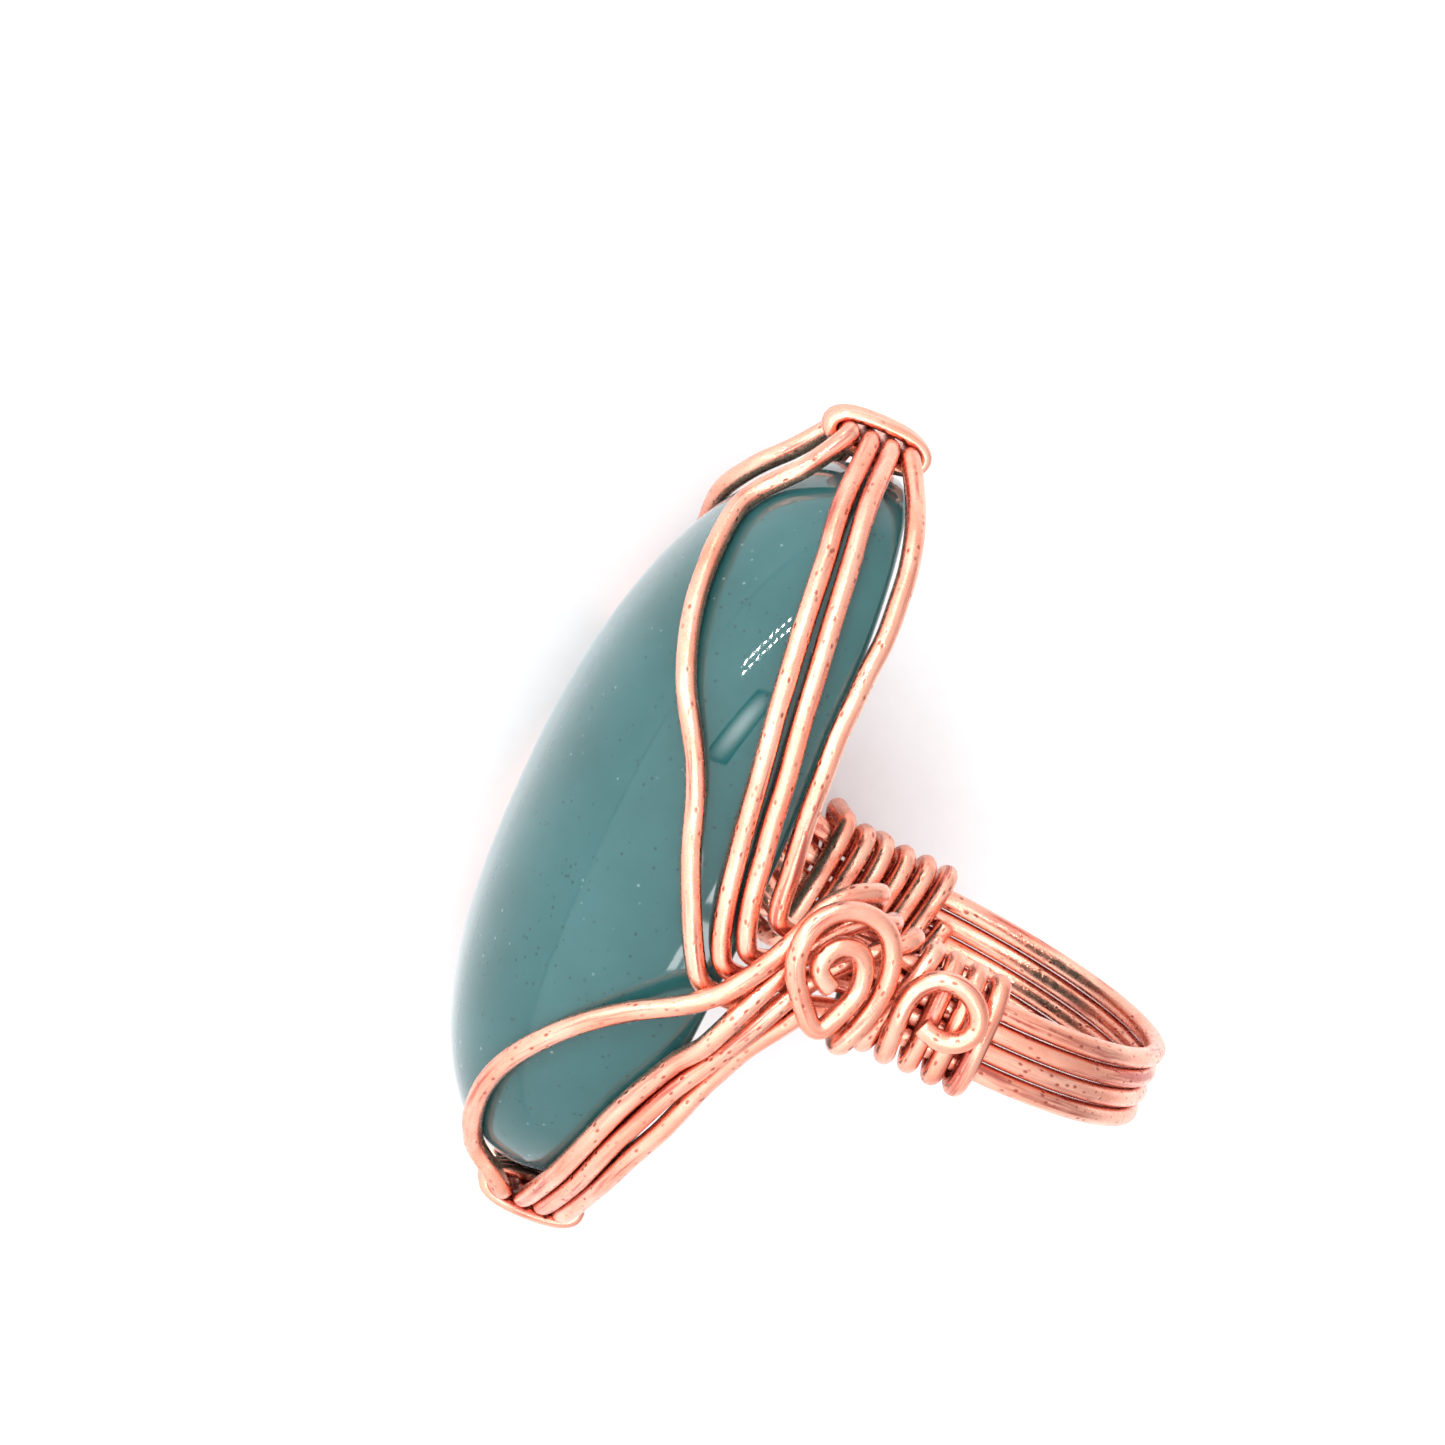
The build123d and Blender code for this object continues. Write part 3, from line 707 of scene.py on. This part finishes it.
def tube(name, line, diameter, seed):
    """A wire along its middle line, with attributes that say where on the wire each spot is."""
    vertices = []
    wire_space = []
    shade_and_oxide = []
    rings = tube_rings(line, diameter)
    for point, across, up, run, share in rings:
        for side in range(TUBE_SIDES):
            angle = math.tau * side / TUBE_SIDES
            radius = diameter / 2 * share - plier_flat(run, angle, seed) * diameter / WIRE
            spot = point + (across * math.cos(angle) + up * math.sin(angle)) * radius
            vertices.append(placed(spot))
            wire_space += [math.cos(angle) * diameter / 2, math.sin(angle) * diameter / 2]
            wire_space.append(run + WIRE_SPACE_STEP * seed)
            # Nearness of the next wire or the stone, for the painted shade and oxide in the crevices
            shade_and_oxide.append(closeness(spot, name, run))
    faces = ring_faces(len(rings), TUBE_SIDES)
    faces.append(tuple(range(TUBE_SIDES))[::-1])
    faces.append(tuple(range(len(vertices) - TUBE_SIDES, len(vertices))))
    piece = added_mesh(f"{name}_drawn", vertices, faces)
    mesh = piece.data
    mesh.shade_smooth()
    mesh.attributes.new("wire_space", "FLOAT_VECTOR", "POINT").data.foreach_set("vector", wire_space)
    mesh.attributes.new("crevice_shade_and_oxide", "FLOAT", "POINT").data.foreach_set("value", shade_and_oxide)
    return piece


# %% The six wires
wires = {}
for seed, (name, line) in enumerate(long_lines.items(), 1):
    wires[name] = tube(name, line, WIRE, seed)
for seed, (name, line) in enumerate(binding_lines.items(), 5):
    wires[name] = tube(name, line, THIN_WIRE, seed)
for name, piece in wires.items():
    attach(piece, "root")
    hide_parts(name)
print("faces of the wires:", sum(len(piece.data.polygons) for piece in wires.values()))

# %% [markdown]
# ## The stone
#
# A cabochon has no facets at all, so its mesh is fine enough that the dome's edge looks smooth
# in profile. The bevel is so thin that it gets closer levels of its own, because it catches a
# line of light. Over the dome the levels come closer together towards the crown, so that they
# lie evenly along the curve.

# %% Stone mesh
DOME_RINGS = 72
PLAN_SIDES = 240
FOOT_ROUND = 5
# Rings of the flat back, as shares of the outline, and a last one this many bevels inside it
BACK_RINGS = (0.25, 0.6)
BACK_EDGE = 1.2
WALL_RING = 0.6


def stone_rings():
    """Heights and scales from the flat back, round the bevel, up the wall and over the dome."""
    bevel = 2 * STONE_BEVEL / STONE_WIDTH
    rings = [(0.0, scale) for scale in BACK_RINGS]
    rings.append((0.0, 1.0 - bevel * BACK_EDGE))
    for step in range(FOOT_ROUND + 1):
        turn = math.pi / 2 * step / FOOT_ROUND
        rings.append((STONE_BEVEL * (1 - math.cos(turn)), 1.0 - bevel * (1 - math.sin(turn))))
    rings.append((STONE_WALL * WALL_RING, 1.0))
    for step in range(DOME_RINGS):
        height = STONE_WALL + (STONE_HEIGHT - STONE_WALL) * math.sin(math.pi / 2 * step / DOME_RINGS)
        rings.append((height, level_scale(height)))
    return rings


def polished_stone():
    rings = stone_rings()
    vertices = []
    for height, scale in rings:
        for side in range(PLAN_SIDES):
            vertices.append(placed(stone_point(360 * side / PLAN_SIDES, height, scale)))
    faces = ring_faces(len(rings), PLAN_SIDES)
    bottom = len(vertices)
    vertices.append(placed(Vector((0, 0, 0))))
    vertices.append(placed(Vector((0, level_centre(STONE_HEIGHT), STONE_HEIGHT))))
    top_ring = (len(rings) - 1) * PLAN_SIDES
    for side in range(PLAN_SIDES):
        after = (side + 1) % PLAN_SIDES
        faces.append((bottom, after, side))
        faces.append((bottom + 1, top_ring + side, top_ring + after))
    piece = added_mesh("polished_cabochon", vertices, faces)
    piece.data.shade_smooth()
    piece.data.polygons.foreach_set("material_index", [int(bottom in face) for face in faces])
    return piece


stone = polished_stone()
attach(stone, "root")
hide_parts("cabochon")
print("faces of the stone:", len(stone.data.polygons))

# %% [markdown]
# ## Helpers for materials
#
# Nodes are made and joined in the same few ways again and again. These helpers keep each
# material's recipe short enough to read at a glance.

# %% Node helpers
def new_material(name, kind="ShaderNodeBsdfPrincipled"):
    """A material with one shader."""
    material = bpy.data.materials.new(name)
    material.use_nodes = True
    tree = material.node_tree
    tree.nodes.clear()
    output = tree.nodes.new("ShaderNodeOutputMaterial")
    shader = tree.nodes.new(kind)
    tree.links.new(shader.outputs[0], output.inputs["Surface"])
    return material, tree, shader


def noise(tree, vector, scale, detail=2.0, roughness=0.5):
    node = tree.nodes.new("ShaderNodeTexNoise")
    node.inputs["Scale"].default_value = scale
    node.inputs["Detail"].default_value = detail
    node.inputs["Roughness"].default_value = roughness
    tree.links.new(vector, node.inputs["Vector"])
    return node.outputs["Fac"]


def spots(tree, vector, scale):
    node = tree.nodes.new("ShaderNodeTexVoronoi")
    node.inputs["Scale"].default_value = scale
    tree.links.new(vector, node.inputs["Vector"])
    return node.outputs["Distance"]


def remap(tree, value, low, high, to_low=0.0, to_high=1.0):
    node = tree.nodes.new("ShaderNodeMapRange")
    numbers = {"From Min": low, "From Max": high, "To Min": to_low, "To Max": to_high}
    for socket, number in numbers.items():
        node.inputs[socket].default_value = number
    tree.links.new(value, node.inputs["Value"])
    return node.outputs["Result"]


def stretched(tree, vector, scale):
    node = tree.nodes.new("ShaderNodeMapping")
    node.inputs["Scale"].default_value = scale
    tree.links.new(vector, node.inputs["Vector"])
    return node.outputs["Vector"]


def maths(tree, operation, first, second):
    node = tree.nodes.new("ShaderNodeMath")
    node.operation = operation
    for socket, value in zip(node.inputs, (first, second)):
        if isinstance(value, (int, float)):
            socket.default_value = value
        else:
            tree.links.new(value, socket)
    return node.outputs[0]


def blended(tree, share, first, second):
    node = tree.nodes.new("ShaderNodeMix")
    node.data_type = "RGBA"
    tree.links.new(share, node.inputs["Factor"])
    for socket, value in ((node.inputs["A"], first), (node.inputs["B"], second)):
        if isinstance(value, tuple):
            socket.default_value = value
        else:
            tree.links.new(value, socket)
    return node.outputs["Result"]


def stored(tree, name):
    """The node that reads an attribute of the mesh."""
    node = tree.nodes.new("ShaderNodeAttribute")
    node.attribute_name = name
    return node


def bumped(tree, height, strength, distance):
    node = tree.nodes.new("ShaderNodeBump")
    node.inputs["Strength"].default_value = strength
    node.inputs["Distance"].default_value = distance
    tree.links.new(height, node.inputs["Height"])
    return node.outputs["Normal"]


# %% [markdown]
# ## What drawing and handling leave on the wire
#
# Wire is pulled through a die, which scores it with fine lines from end to end. Copper is soft,
# so it also picks up pits and small nicks, and it tarnishes in blotches. Both the thick and the
# thin wire show all of this, so it is one node group that each copper material uses with values
# of its own. The lines come from noise stretched along the wire in its own coordinates.

# %% Group: drawn and handled copper
# For each noise: its stretch across and along the wire, then its scale, detail and roughness
COPPER_NOISES = {
    "lines": ((9.0, 9.0, 0.35), 1.6, 4.0, 0.65),
    "streaks": ((1.0, 1.0, 0.05), 3.4, 3.0, 0.6),
    "streak zones": ((1.0, 1.0, 0.3), 0.7, 2.0, 0.5),
    "pit zones": ((1.0, 1.0, 1.0), 0.45, 2.0, 0.5),
    "dents": ((1.0, 1.0, 0.5), 1.4, 2.0, 0.5),
    "tarnish": ((1.0, 1.0, 0.4), 0.8, 5.0, 0.6),
    "wear": ((1.0, 1.0, 1.0), 2.6, 4.0, 0.6),
}
PIT_STRETCH = (1.0, 1.0, 0.6)
PIT_SCALE = 2.8
DENT_DEPTH = 1.1
PIT_DEPTH = 1.4


def drawn_copper_group():
    group = bpy.data.node_groups.new("Drawn and handled copper", "ShaderNodeTree")
    group.interface.new_socket(name="Wire Space", in_out="INPUT", socket_type="NodeSocketVector")
    for name in ("Line Depth", "Pit Amount"):
        group.interface.new_socket(name=name, in_out="INPUT", socket_type="NodeSocketFloat")
    for name in ("Tarnish", "Pits", "Streaks", "Wear", "Height"):
        group.interface.new_socket(name=name, in_out="OUTPUT", socket_type="NodeSocketFloat")
    start = group.nodes.new("NodeGroupInput")
    end = group.nodes.new("NodeGroupOutput")
    space = start.outputs["Wire Space"]
    fields = {}
    for name, (stretch, *numbers) in COPPER_NOISES.items():
        fields[name] = noise(group, stretched(group, space, stretch), *numbers)
    streak_zones = remap(group, fields["streak zones"], 0.40, 0.60)
    streaks = maths(group, "MULTIPLY", remap(group, fields["streaks"], 0.50, 0.62), streak_zones)
    pit_cells = spots(group, stretched(group, space, PIT_STRETCH), PIT_SCALE)
    pit_cores = remap(group, pit_cells, 0.12, 0.28, 1.0, 0.0)
    pit_field = maths(group, "MULTIPLY", pit_cores, remap(group, fields["pit zones"], 0.36, 0.54))
    pits = maths(group, "MULTIPLY", pit_field, start.outputs["Pit Amount"])
    line_height = maths(group, "MULTIPLY", fields["lines"], start.outputs["Line Depth"])
    raised = maths(group, "ADD", line_height, maths(group, "MULTIPLY", fields["dents"], DENT_DEPTH))
    results = {
        "Tarnish": remap(group, fields["tarnish"], 0.35, 0.7),
        "Pits": pits,
        "Streaks": streaks,
        "Wear": remap(group, fields["wear"], 0.3, 0.75),
        "Height": maths(group, "SUBTRACT", raised, maths(group, "MULTIPLY", pits, PIT_DEPTH)),
    }
    for name, value in results.items():
        group.links.new(value, end.inputs[name])
    return group


drawn_copper = drawn_copper_group()
print("group sockets:", [item.name for item in drawn_copper.interface.items_tree])

# %% [markdown]
# ## Copper
#
# Fresh copper reflects a salmon pink. Blotches of thin oxide turn it a little more orange, and
# the deepest lines, the pits and the crevices are red brown. In the crevices that red brown is
# partly oxide and partly painted shade, darker wherever another wire or the stone is near. The
# metal stays bright: the polish is high, and only the marks break up its highlights.

# %% Copper materials
BRIGHT_COPPER = (0.95, 0.50, 0.375, 1.0)
WARM_COPPER = (0.88, 0.32, 0.215, 1.0)
STREAK_COPPER = (0.45, 0.10, 0.08, 1.0)
# Red brown of the crevices: partly oxide, partly painted shade
SHADE_AND_OXIDE_COPPER = (0.46, 0.085, 0.06, 1.0)
PIT_COPPER = (0.42, 0.10, 0.07, 1.0)
MARK_STRENGTH = 0.45
MARK_DEPTH = 0.04 * MM


def copper(name, line_depth, pit_amount, smooth_end, rough_end):
    material, tree, shader = new_material(name)
    marks = tree.nodes.new("ShaderNodeGroup")
    marks.node_tree = drawn_copper
    marks.inputs["Line Depth"].default_value = line_depth
    marks.inputs["Pit Amount"].default_value = pit_amount
    space = stored(tree, "wire_space").outputs["Vector"]
    tree.links.new(space, marks.inputs["Wire Space"])
    blotched = blended(tree, marks.outputs["Tarnish"], BRIGHT_COPPER, WARM_COPPER)
    streaks = maths(tree, "MULTIPLY", marks.outputs["Streaks"], 0.9)
    streaked = blended(tree, streaks, blotched, STREAK_COPPER)
    # Painted shade and oxide: darker red brown wherever another wire or the stone is near
    shade_and_oxide = remap(tree, stored(tree, "crevice_shade_and_oxide").outputs["Fac"], 0.10, 0.80, 0.0, 0.9)
    shaded_and_oxidised = blended(tree, shade_and_oxide, streaked, SHADE_AND_OXIDE_COPPER)
    pitted = blended(tree, marks.outputs["Pits"], shaded_and_oxidised, PIT_COPPER)
    roughness = remap(tree, marks.outputs["Wear"], 0.0, 1.0, smooth_end, rough_end)
    normal = bumped(tree, marks.outputs["Height"], MARK_STRENGTH, MARK_DEPTH)
    tree.links.new(pitted, shader.inputs["Base Color"])
    tree.links.new(roughness, shader.inputs["Roughness"])
    tree.links.new(normal, shader.inputs["Normal"])
    shader.inputs["Metallic"].default_value = 1.0
    return material


thick_copper = copper("Polished copper wire", 0.6, 0.95, 0.18, 0.38)
thin_copper = copper("Thin copper binding wire", 0.5, 0.6, 0.18, 0.34)
for name, piece in wires.items():
    piece.data.materials.append(thin_copper if "binding" in name else thick_copper)
print("copper materials:", thick_copper.name, "and", thin_copper.name)

# %% [markdown]
# ## Green stone
#
# The stone is a milky teal quartz. Light goes a little way in, and its edges look paler than its
# middle. Close up it holds fine dark and light specks and a few soft veils, all under a glassy
# polish. Subsurface scattering gives the depth and a little sheen the pale edges, the specks and
# veils are in its colour, and a very low roughness gives the polish. The flat back is only
# ground, so it gets the same recipe with a satin roughness.

# %% Stone material
DEEP_TEAL = (0.011, 0.071, 0.072, 1.0)
PALE_TEAL = (0.020, 0.096, 0.099, 1.0)
VEIL_TEAL = (0.075, 0.175, 0.180, 1.0)
DARK_SPECK = (0.006, 0.025, 0.030, 1.0)
LIGHT_SPECK = (0.20, 0.32, 0.30, 1.0)
EDGE_TINT = (0.75, 0.9, 1.0, 1.0)
# Scales are in cells to the metre
CLOUD_SCALE = 130.0
VEIL_SCALES = (240.0, 45.0, 90.0)
DARK_SPECK_SCALE = 2100.0
DARK_ZONE_SCALE = 500.0
LIGHT_SPECK_SCALE = 1500.0
LIGHT_ZONE_SCALE = 330.0
QUARTZ_IOR = 1.54
MILKY_DEPTH = 1.2 * MM


def green_stone(name, smooth_end, rough_end):
    material, tree, shader = new_material(name)
    place = tree.nodes.new("ShaderNodeTexCoord").outputs["Object"]
    cloud = remap(tree, noise(tree, place, CLOUD_SCALE, 4.0, 0.55), 0.35, 0.68)
    body = blended(tree, cloud, DEEP_TEAL, PALE_TEAL)
    veils = noise(tree, stretched(tree, place, VEIL_SCALES), 1.0, 3.0, 0.6)
    veiled = blended(tree, remap(tree, veils, 0.62, 0.80, 0.0, 0.45), body, VEIL_TEAL)
    dark = remap(tree, spots(tree, place, DARK_SPECK_SCALE), 0.10, 0.22, 0.65, 0.0)
    few = remap(tree, noise(tree, place, DARK_ZONE_SCALE), 0.44, 0.56)
    darkened = blended(tree, maths(tree, "MULTIPLY", dark, few), veiled, DARK_SPECK)
    light = remap(tree, spots(tree, place, LIGHT_SPECK_SCALE), 0.06, 0.14, 0.7, 0.0)
    rare = remap(tree, noise(tree, place, LIGHT_ZONE_SCALE), 0.54, 0.62)
    flecked = blended(tree, maths(tree, "MULTIPLY", light, rare), darkened, LIGHT_SPECK)
    tree.links.new(flecked, shader.inputs["Base Color"])
    tree.links.new(remap(tree, cloud, 0.0, 1.0, smooth_end, rough_end), shader.inputs["Roughness"])
    shader.inputs["IOR"].default_value = QUARTZ_IOR
    shader.inputs["Subsurface Weight"].default_value = 0.35
    shader.inputs["Subsurface Radius"].default_value = (0.6, 1.0, 1.0)
    shader.inputs["Subsurface Scale"].default_value = MILKY_DEPTH
    shader.inputs["Sheen Weight"].default_value = 0.25
    shader.inputs["Sheen Roughness"].default_value = 0.25
    shader.inputs["Sheen Tint"].default_value = EDGE_TINT
    return material


stone.data.materials.append(green_stone("Milky teal quartz", 0.03, 0.06))
stone.data.materials.append(green_stone("Ground back of the quartz", 0.30, 0.42))
print("stone materials:", [material.name for material in stone.data.materials])

# %% [markdown]
# ## Floor, light and camera
#
# The ring was shot on a white sheet in very bright, soft light: the sheet burns out to white and
# only a faint grey shadow is left beside the stone. A large pale floor and a bright
# surrounding give that.

# %% Floor
FLOOR_SIZE = 1.6
SHEET_DARK = (0.80, 0.79, 0.80, 1.0)
SHEET_LIGHT = (0.84, 0.83, 0.84, 1.0)
SHEET_GRAIN = 900.0
SHEET_ROUGHNESS = 0.75


def pale_floor():
    half = FLOOR_SIZE / 2
    corners = [(-half, -half, 0), (half, -half, 0), (half, half, 0), (-half, half, 0)]
    floor = added_mesh("pale_sheet", corners, [(0, 1, 2, 3)])
    material, tree, shader = new_material("Pale sheet")
    place = tree.nodes.new("ShaderNodeTexCoord").outputs["Object"]
    grain = blended(tree, noise(tree, place, SHEET_GRAIN), SHEET_DARK, SHEET_LIGHT)
    tree.links.new(grain, shader.inputs["Base Color"])
    shader.inputs["Roughness"].default_value = SHEET_ROUGHNESS
    floor.data.materials.append(material)
    floor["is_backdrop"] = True
    return floor


print("floor:", pale_floor().name, FLOOR_SIZE, "m wide")

# %% Camera, from the photograph's viewing angle
VIEW_ALONG = 0.18
VIEW_UP = 0.17
VIEW_DISTANCE = 320.0
PIXELS_PER_MM = 22.0
IMAGE_SIZE = 1445
STONE_SLOPE = 65.3
AIM = Vector((0.0, 0.0, TIP_HEIGHT))
AIM_PIXEL = (703.5, 817.0)


def view_axes():
    """The camera's backward, right and up directions in the ring's frame."""
    back = Vector((math.sqrt(1 - VIEW_ALONG ** 2 - VIEW_UP ** 2), VIEW_ALONG, VIEW_UP))
    stone_axis = Vector((0, 1, 0))
    stone_axis = (stone_axis - back * stone_axis.dot(back)).normalized()
    sideways = stone_axis.cross(back)
    turn = math.radians(90 - STONE_SLOPE)
    up = stone_axis * math.cos(turn) - sideways * math.sin(turn)
    return back, up.cross(back), up


def photo_camera():
    back, right, up = view_axes()
    eye = AIM + back * VIEW_DISTANCE
    off_right = (IMAGE_SIZE / 2 - AIM_PIXEL[0]) / PIXELS_PER_MM
    off_up = (AIM_PIXEL[1] - IMAGE_SIZE / 2) / PIXELS_PER_MM
    target = AIM + right * off_right + up * off_up
    backward = (laid_on_side @ (eye - target)).normalized()
    upward = laid_on_side @ up
    upward = (upward - backward * upward.dot(backward)).normalized()
    camera = bpy.data.cameras.new("photo_camera")
    camera.sensor_width = 36.0
    camera.lens = PIXELS_PER_MM * VIEW_DISTANCE / IMAGE_SIZE * camera.sensor_width
    camera.clip_start = 0.01
    camera.clip_end = 10.0
    holder = bpy.data.objects.new("photo_camera", camera)
    axes = Matrix((upward.cross(backward), upward, backward)).transposed().to_4x4()
    holder.matrix_world = Matrix.Translation(placed(eye)) @ axes
    bpy.context.scene.collection.objects.link(holder)
    bpy.context.scene.camera = holder
    return holder


camera = photo_camera()
height = camera.matrix_world.translation.z
print("camera", round(1000 * height), "mm above the sheet, lens", round(camera.data.lens, 1), "mm")

# %% [markdown]
# The light is a bright room with its window on the picture's left, so the world is one smooth
# gradient: brightest towards the window and dimmest away from it. It leaves no outline in the
# polish. The sharp glints come from a strip of sixteen small diodes, and a dimmer panel beside
# it draws the soft streak. Both are placed by mirroring: a spot of the dome is chosen, and the
# light goes where the camera sees it from there. Two ribbon lamps give the wires their white
# streaks. Seen from the photograph's angle, their own images in the stone lie hidden behind two
# of the strands. The Standard view transform lets the sheet burn out to plain white.

# %% Bright room
ROOM_LIGHT = 1.38
WINDOW_SHARE = 0.7
ROOM_COLOUR = (0.98, 0.99, 1.0, 1.0)
# The window's direction: how far it points at the camera, to the camera's right and upwards
TOWARDS_WINDOW = (0.5, -0.8, 0.1)


def seen_from_camera(shares):
    """A direction in the scene, from its shares along the camera's three axes."""
    total = Vector((0, 0, 0))
    for share, axis in zip(shares, view_axes()):
        total += laid_on_side @ axis * share
    return total.normalized()


def bright_room():
    world = bpy.data.worlds.new("Bright room")
    world.use_nodes = True
    tree = world.node_tree
    place = tree.nodes.new("ShaderNodeTexCoord").outputs["Generated"]
    facing = tree.nodes.new("ShaderNodeVectorMath")
    facing.operation = "DOT_PRODUCT"
    facing.inputs[1].default_value = seen_from_camera(TOWARDS_WINDOW)
    tree.links.new(place, facing.inputs[0])
    dimmest = ROOM_LIGHT - WINDOW_SHARE
    brightest = ROOM_LIGHT + WINDOW_SHARE
    strength = remap(tree, facing.outputs["Value"], -1.0, 1.0, dimmest, brightest)
    background = tree.nodes["Background"]
    background.inputs["Color"].default_value = ROOM_COLOUR
    tree.links.new(strength, background.inputs["Strength"])
    bpy.context.scene.world = world


bright_room()
bpy.context.scene.view_settings.view_transform = "Standard"
print("room:", bpy.context.scene.world.name)

# %% Lamps
LAMP_DISTANCE = 400.0


def mirrored(spot):
    """Where a lamp has to be for the camera to see it in a spot of the stone."""
    normal = stone_normal(spot)
    back = view_axes()[0]
    return spot + (normal * (2 * normal.dot(back)) - back) * LAMP_DISTANCE


def mirrored_places(spots_of_stone):
    return [mirrored(stone_point(turn, height)) for turn, height in spots_of_stone]


def glowing(name, vertices, faces, shares, glow):
    """A lamp whose glow fades with a share stored at each of its vertices."""
    lamp = added_mesh(name, [placed(vertex) for vertex in vertices], faces)
    lamp.data.attributes.new("glow_share", "FLOAT", "POINT").data.foreach_set("value", shares)
    material, tree, light = new_material(name, "ShaderNodeEmission")
    strength = maths(tree, "MULTIPLY", stored(tree, "glow_share").outputs["Fac"], glow)
    tree.links.new(strength, light.inputs["Strength"])
    lamp.data.materials.append(material)
    lamp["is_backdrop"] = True
    return lamp


# %% Diode strip
DIODE_ROWS = (((30.0, 4.7), (38.0, 3.6)), ((32.0, 4.8), (40.0, 3.7)))
DIODES = 8
DIODE_SIZE = 4.5
DIODE_GLOW = 450.0


def diode_strip():
    """Two staggered rows of small square diodes."""
    vertices = []
    faces = []
    for row in DIODE_ROWS:
        first, last = mirrored_places(row)
        along = (last - first).normalized()
        across = along.cross(first).normalized()
        for diode in range(DIODES):
            centre = first.lerp(last, diode / (DIODES - 1))
            corner = len(vertices)
            for step, rise in ((-1, -1), (1, -1), (1, 1), (-1, 1)):
                vertices.append(centre + (along * step + across * rise) * DIODE_SIZE / 2)
            faces.append(tuple(range(corner, corner + 4)))
    return glowing("diode_strip", vertices, faces, [1.0] * len(vertices), DIODE_GLOW)


lamps = [diode_strip()]
print("diodes:", len(lamps[0].data.polygons))

# %% Soft panel
PANEL_LEFT = ((15.0, 5.0), (27.0, 3.9))
PANEL_RIGHT = ((14.0, 3.9), (26.0, 2.9))
PANEL_GLOW = 7.0
PANEL_STEPS = 10


def soft_panel():
    """A panel that is brightest in its middle and fades out towards its edges."""
    left = mirrored_places(PANEL_LEFT)
    right = mirrored_places(PANEL_RIGHT)
    vertices = []
    shares = []
    faces = []
    for row in range(PANEL_STEPS + 1):
        along = row / PANEL_STEPS
        for column in range(PANEL_STEPS + 1):
            across = column / PANEL_STEPS
            vertices.append(left[0].lerp(left[1], along).lerp(right[0].lerp(right[1], along), across))
            shares.append(math.sin(math.pi * along) * math.sin(math.pi * across) ** 2)
    for row in range(PANEL_STEPS):
        for column in range(PANEL_STEPS):
            corner = row * (PANEL_STEPS + 1) + column
            faces.append((corner, corner + 1, corner + PANEL_STEPS + 2, corner + PANEL_STEPS + 1))
    return glowing("soft_panel", vertices, faces, shares, PANEL_GLOW)


lamps.append(soft_panel())

# %% Ribbon lamps
RIBBON_WIDTH = 22.0
RIBBON_GLOW = 10.0


def spot_behind(place):
    """The spot of the stone that the camera would see behind a wire's middle."""
    back = view_axes()[0]
    return place - back * (SEAT / stone_normal(place).dot(back))


def ribbon_lamp(name, strand, first, last):
    """A narrow lamp whose image in the stone is hidden by a stretch of a rising strand."""
    places_on_wire = eased(places(RISING[strand][first:last], False))
    middles = [mirrored(spot_behind(place)) for place in places_on_wire]
    vertices = []
    faces = []
    for index, middle in enumerate(middles):
        along = middles[min(index + 1, len(middles) - 1)] - middles[max(index - 1, 0)]
        across = along.cross(middle).normalized() * RIBBON_WIDTH / 2
        vertices += [middle - across, middle + across]
        if index:
            corner = 2 * index
            faces.append((corner - 2, corner - 1, corner + 1, corner))
    return glowing(name, vertices, faces, [1.0] * len(vertices), RIBBON_GLOW)


lamps.append(ribbon_lamp("upper_ribbon", strand=0, first=1, last=10))
lamps.append(ribbon_lamp("lower_ribbon", strand=1, first=2, last=11))
print("lamps:", [lamp.name for lamp in lamps])

dressed_box = [list(corner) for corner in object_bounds()]
growth = [round(1000 * (b - a), 2) for a, b in zip(solid_box[1], dressed_box[1])]
print("dressed box beyond the solids, in millimetres:", growth)
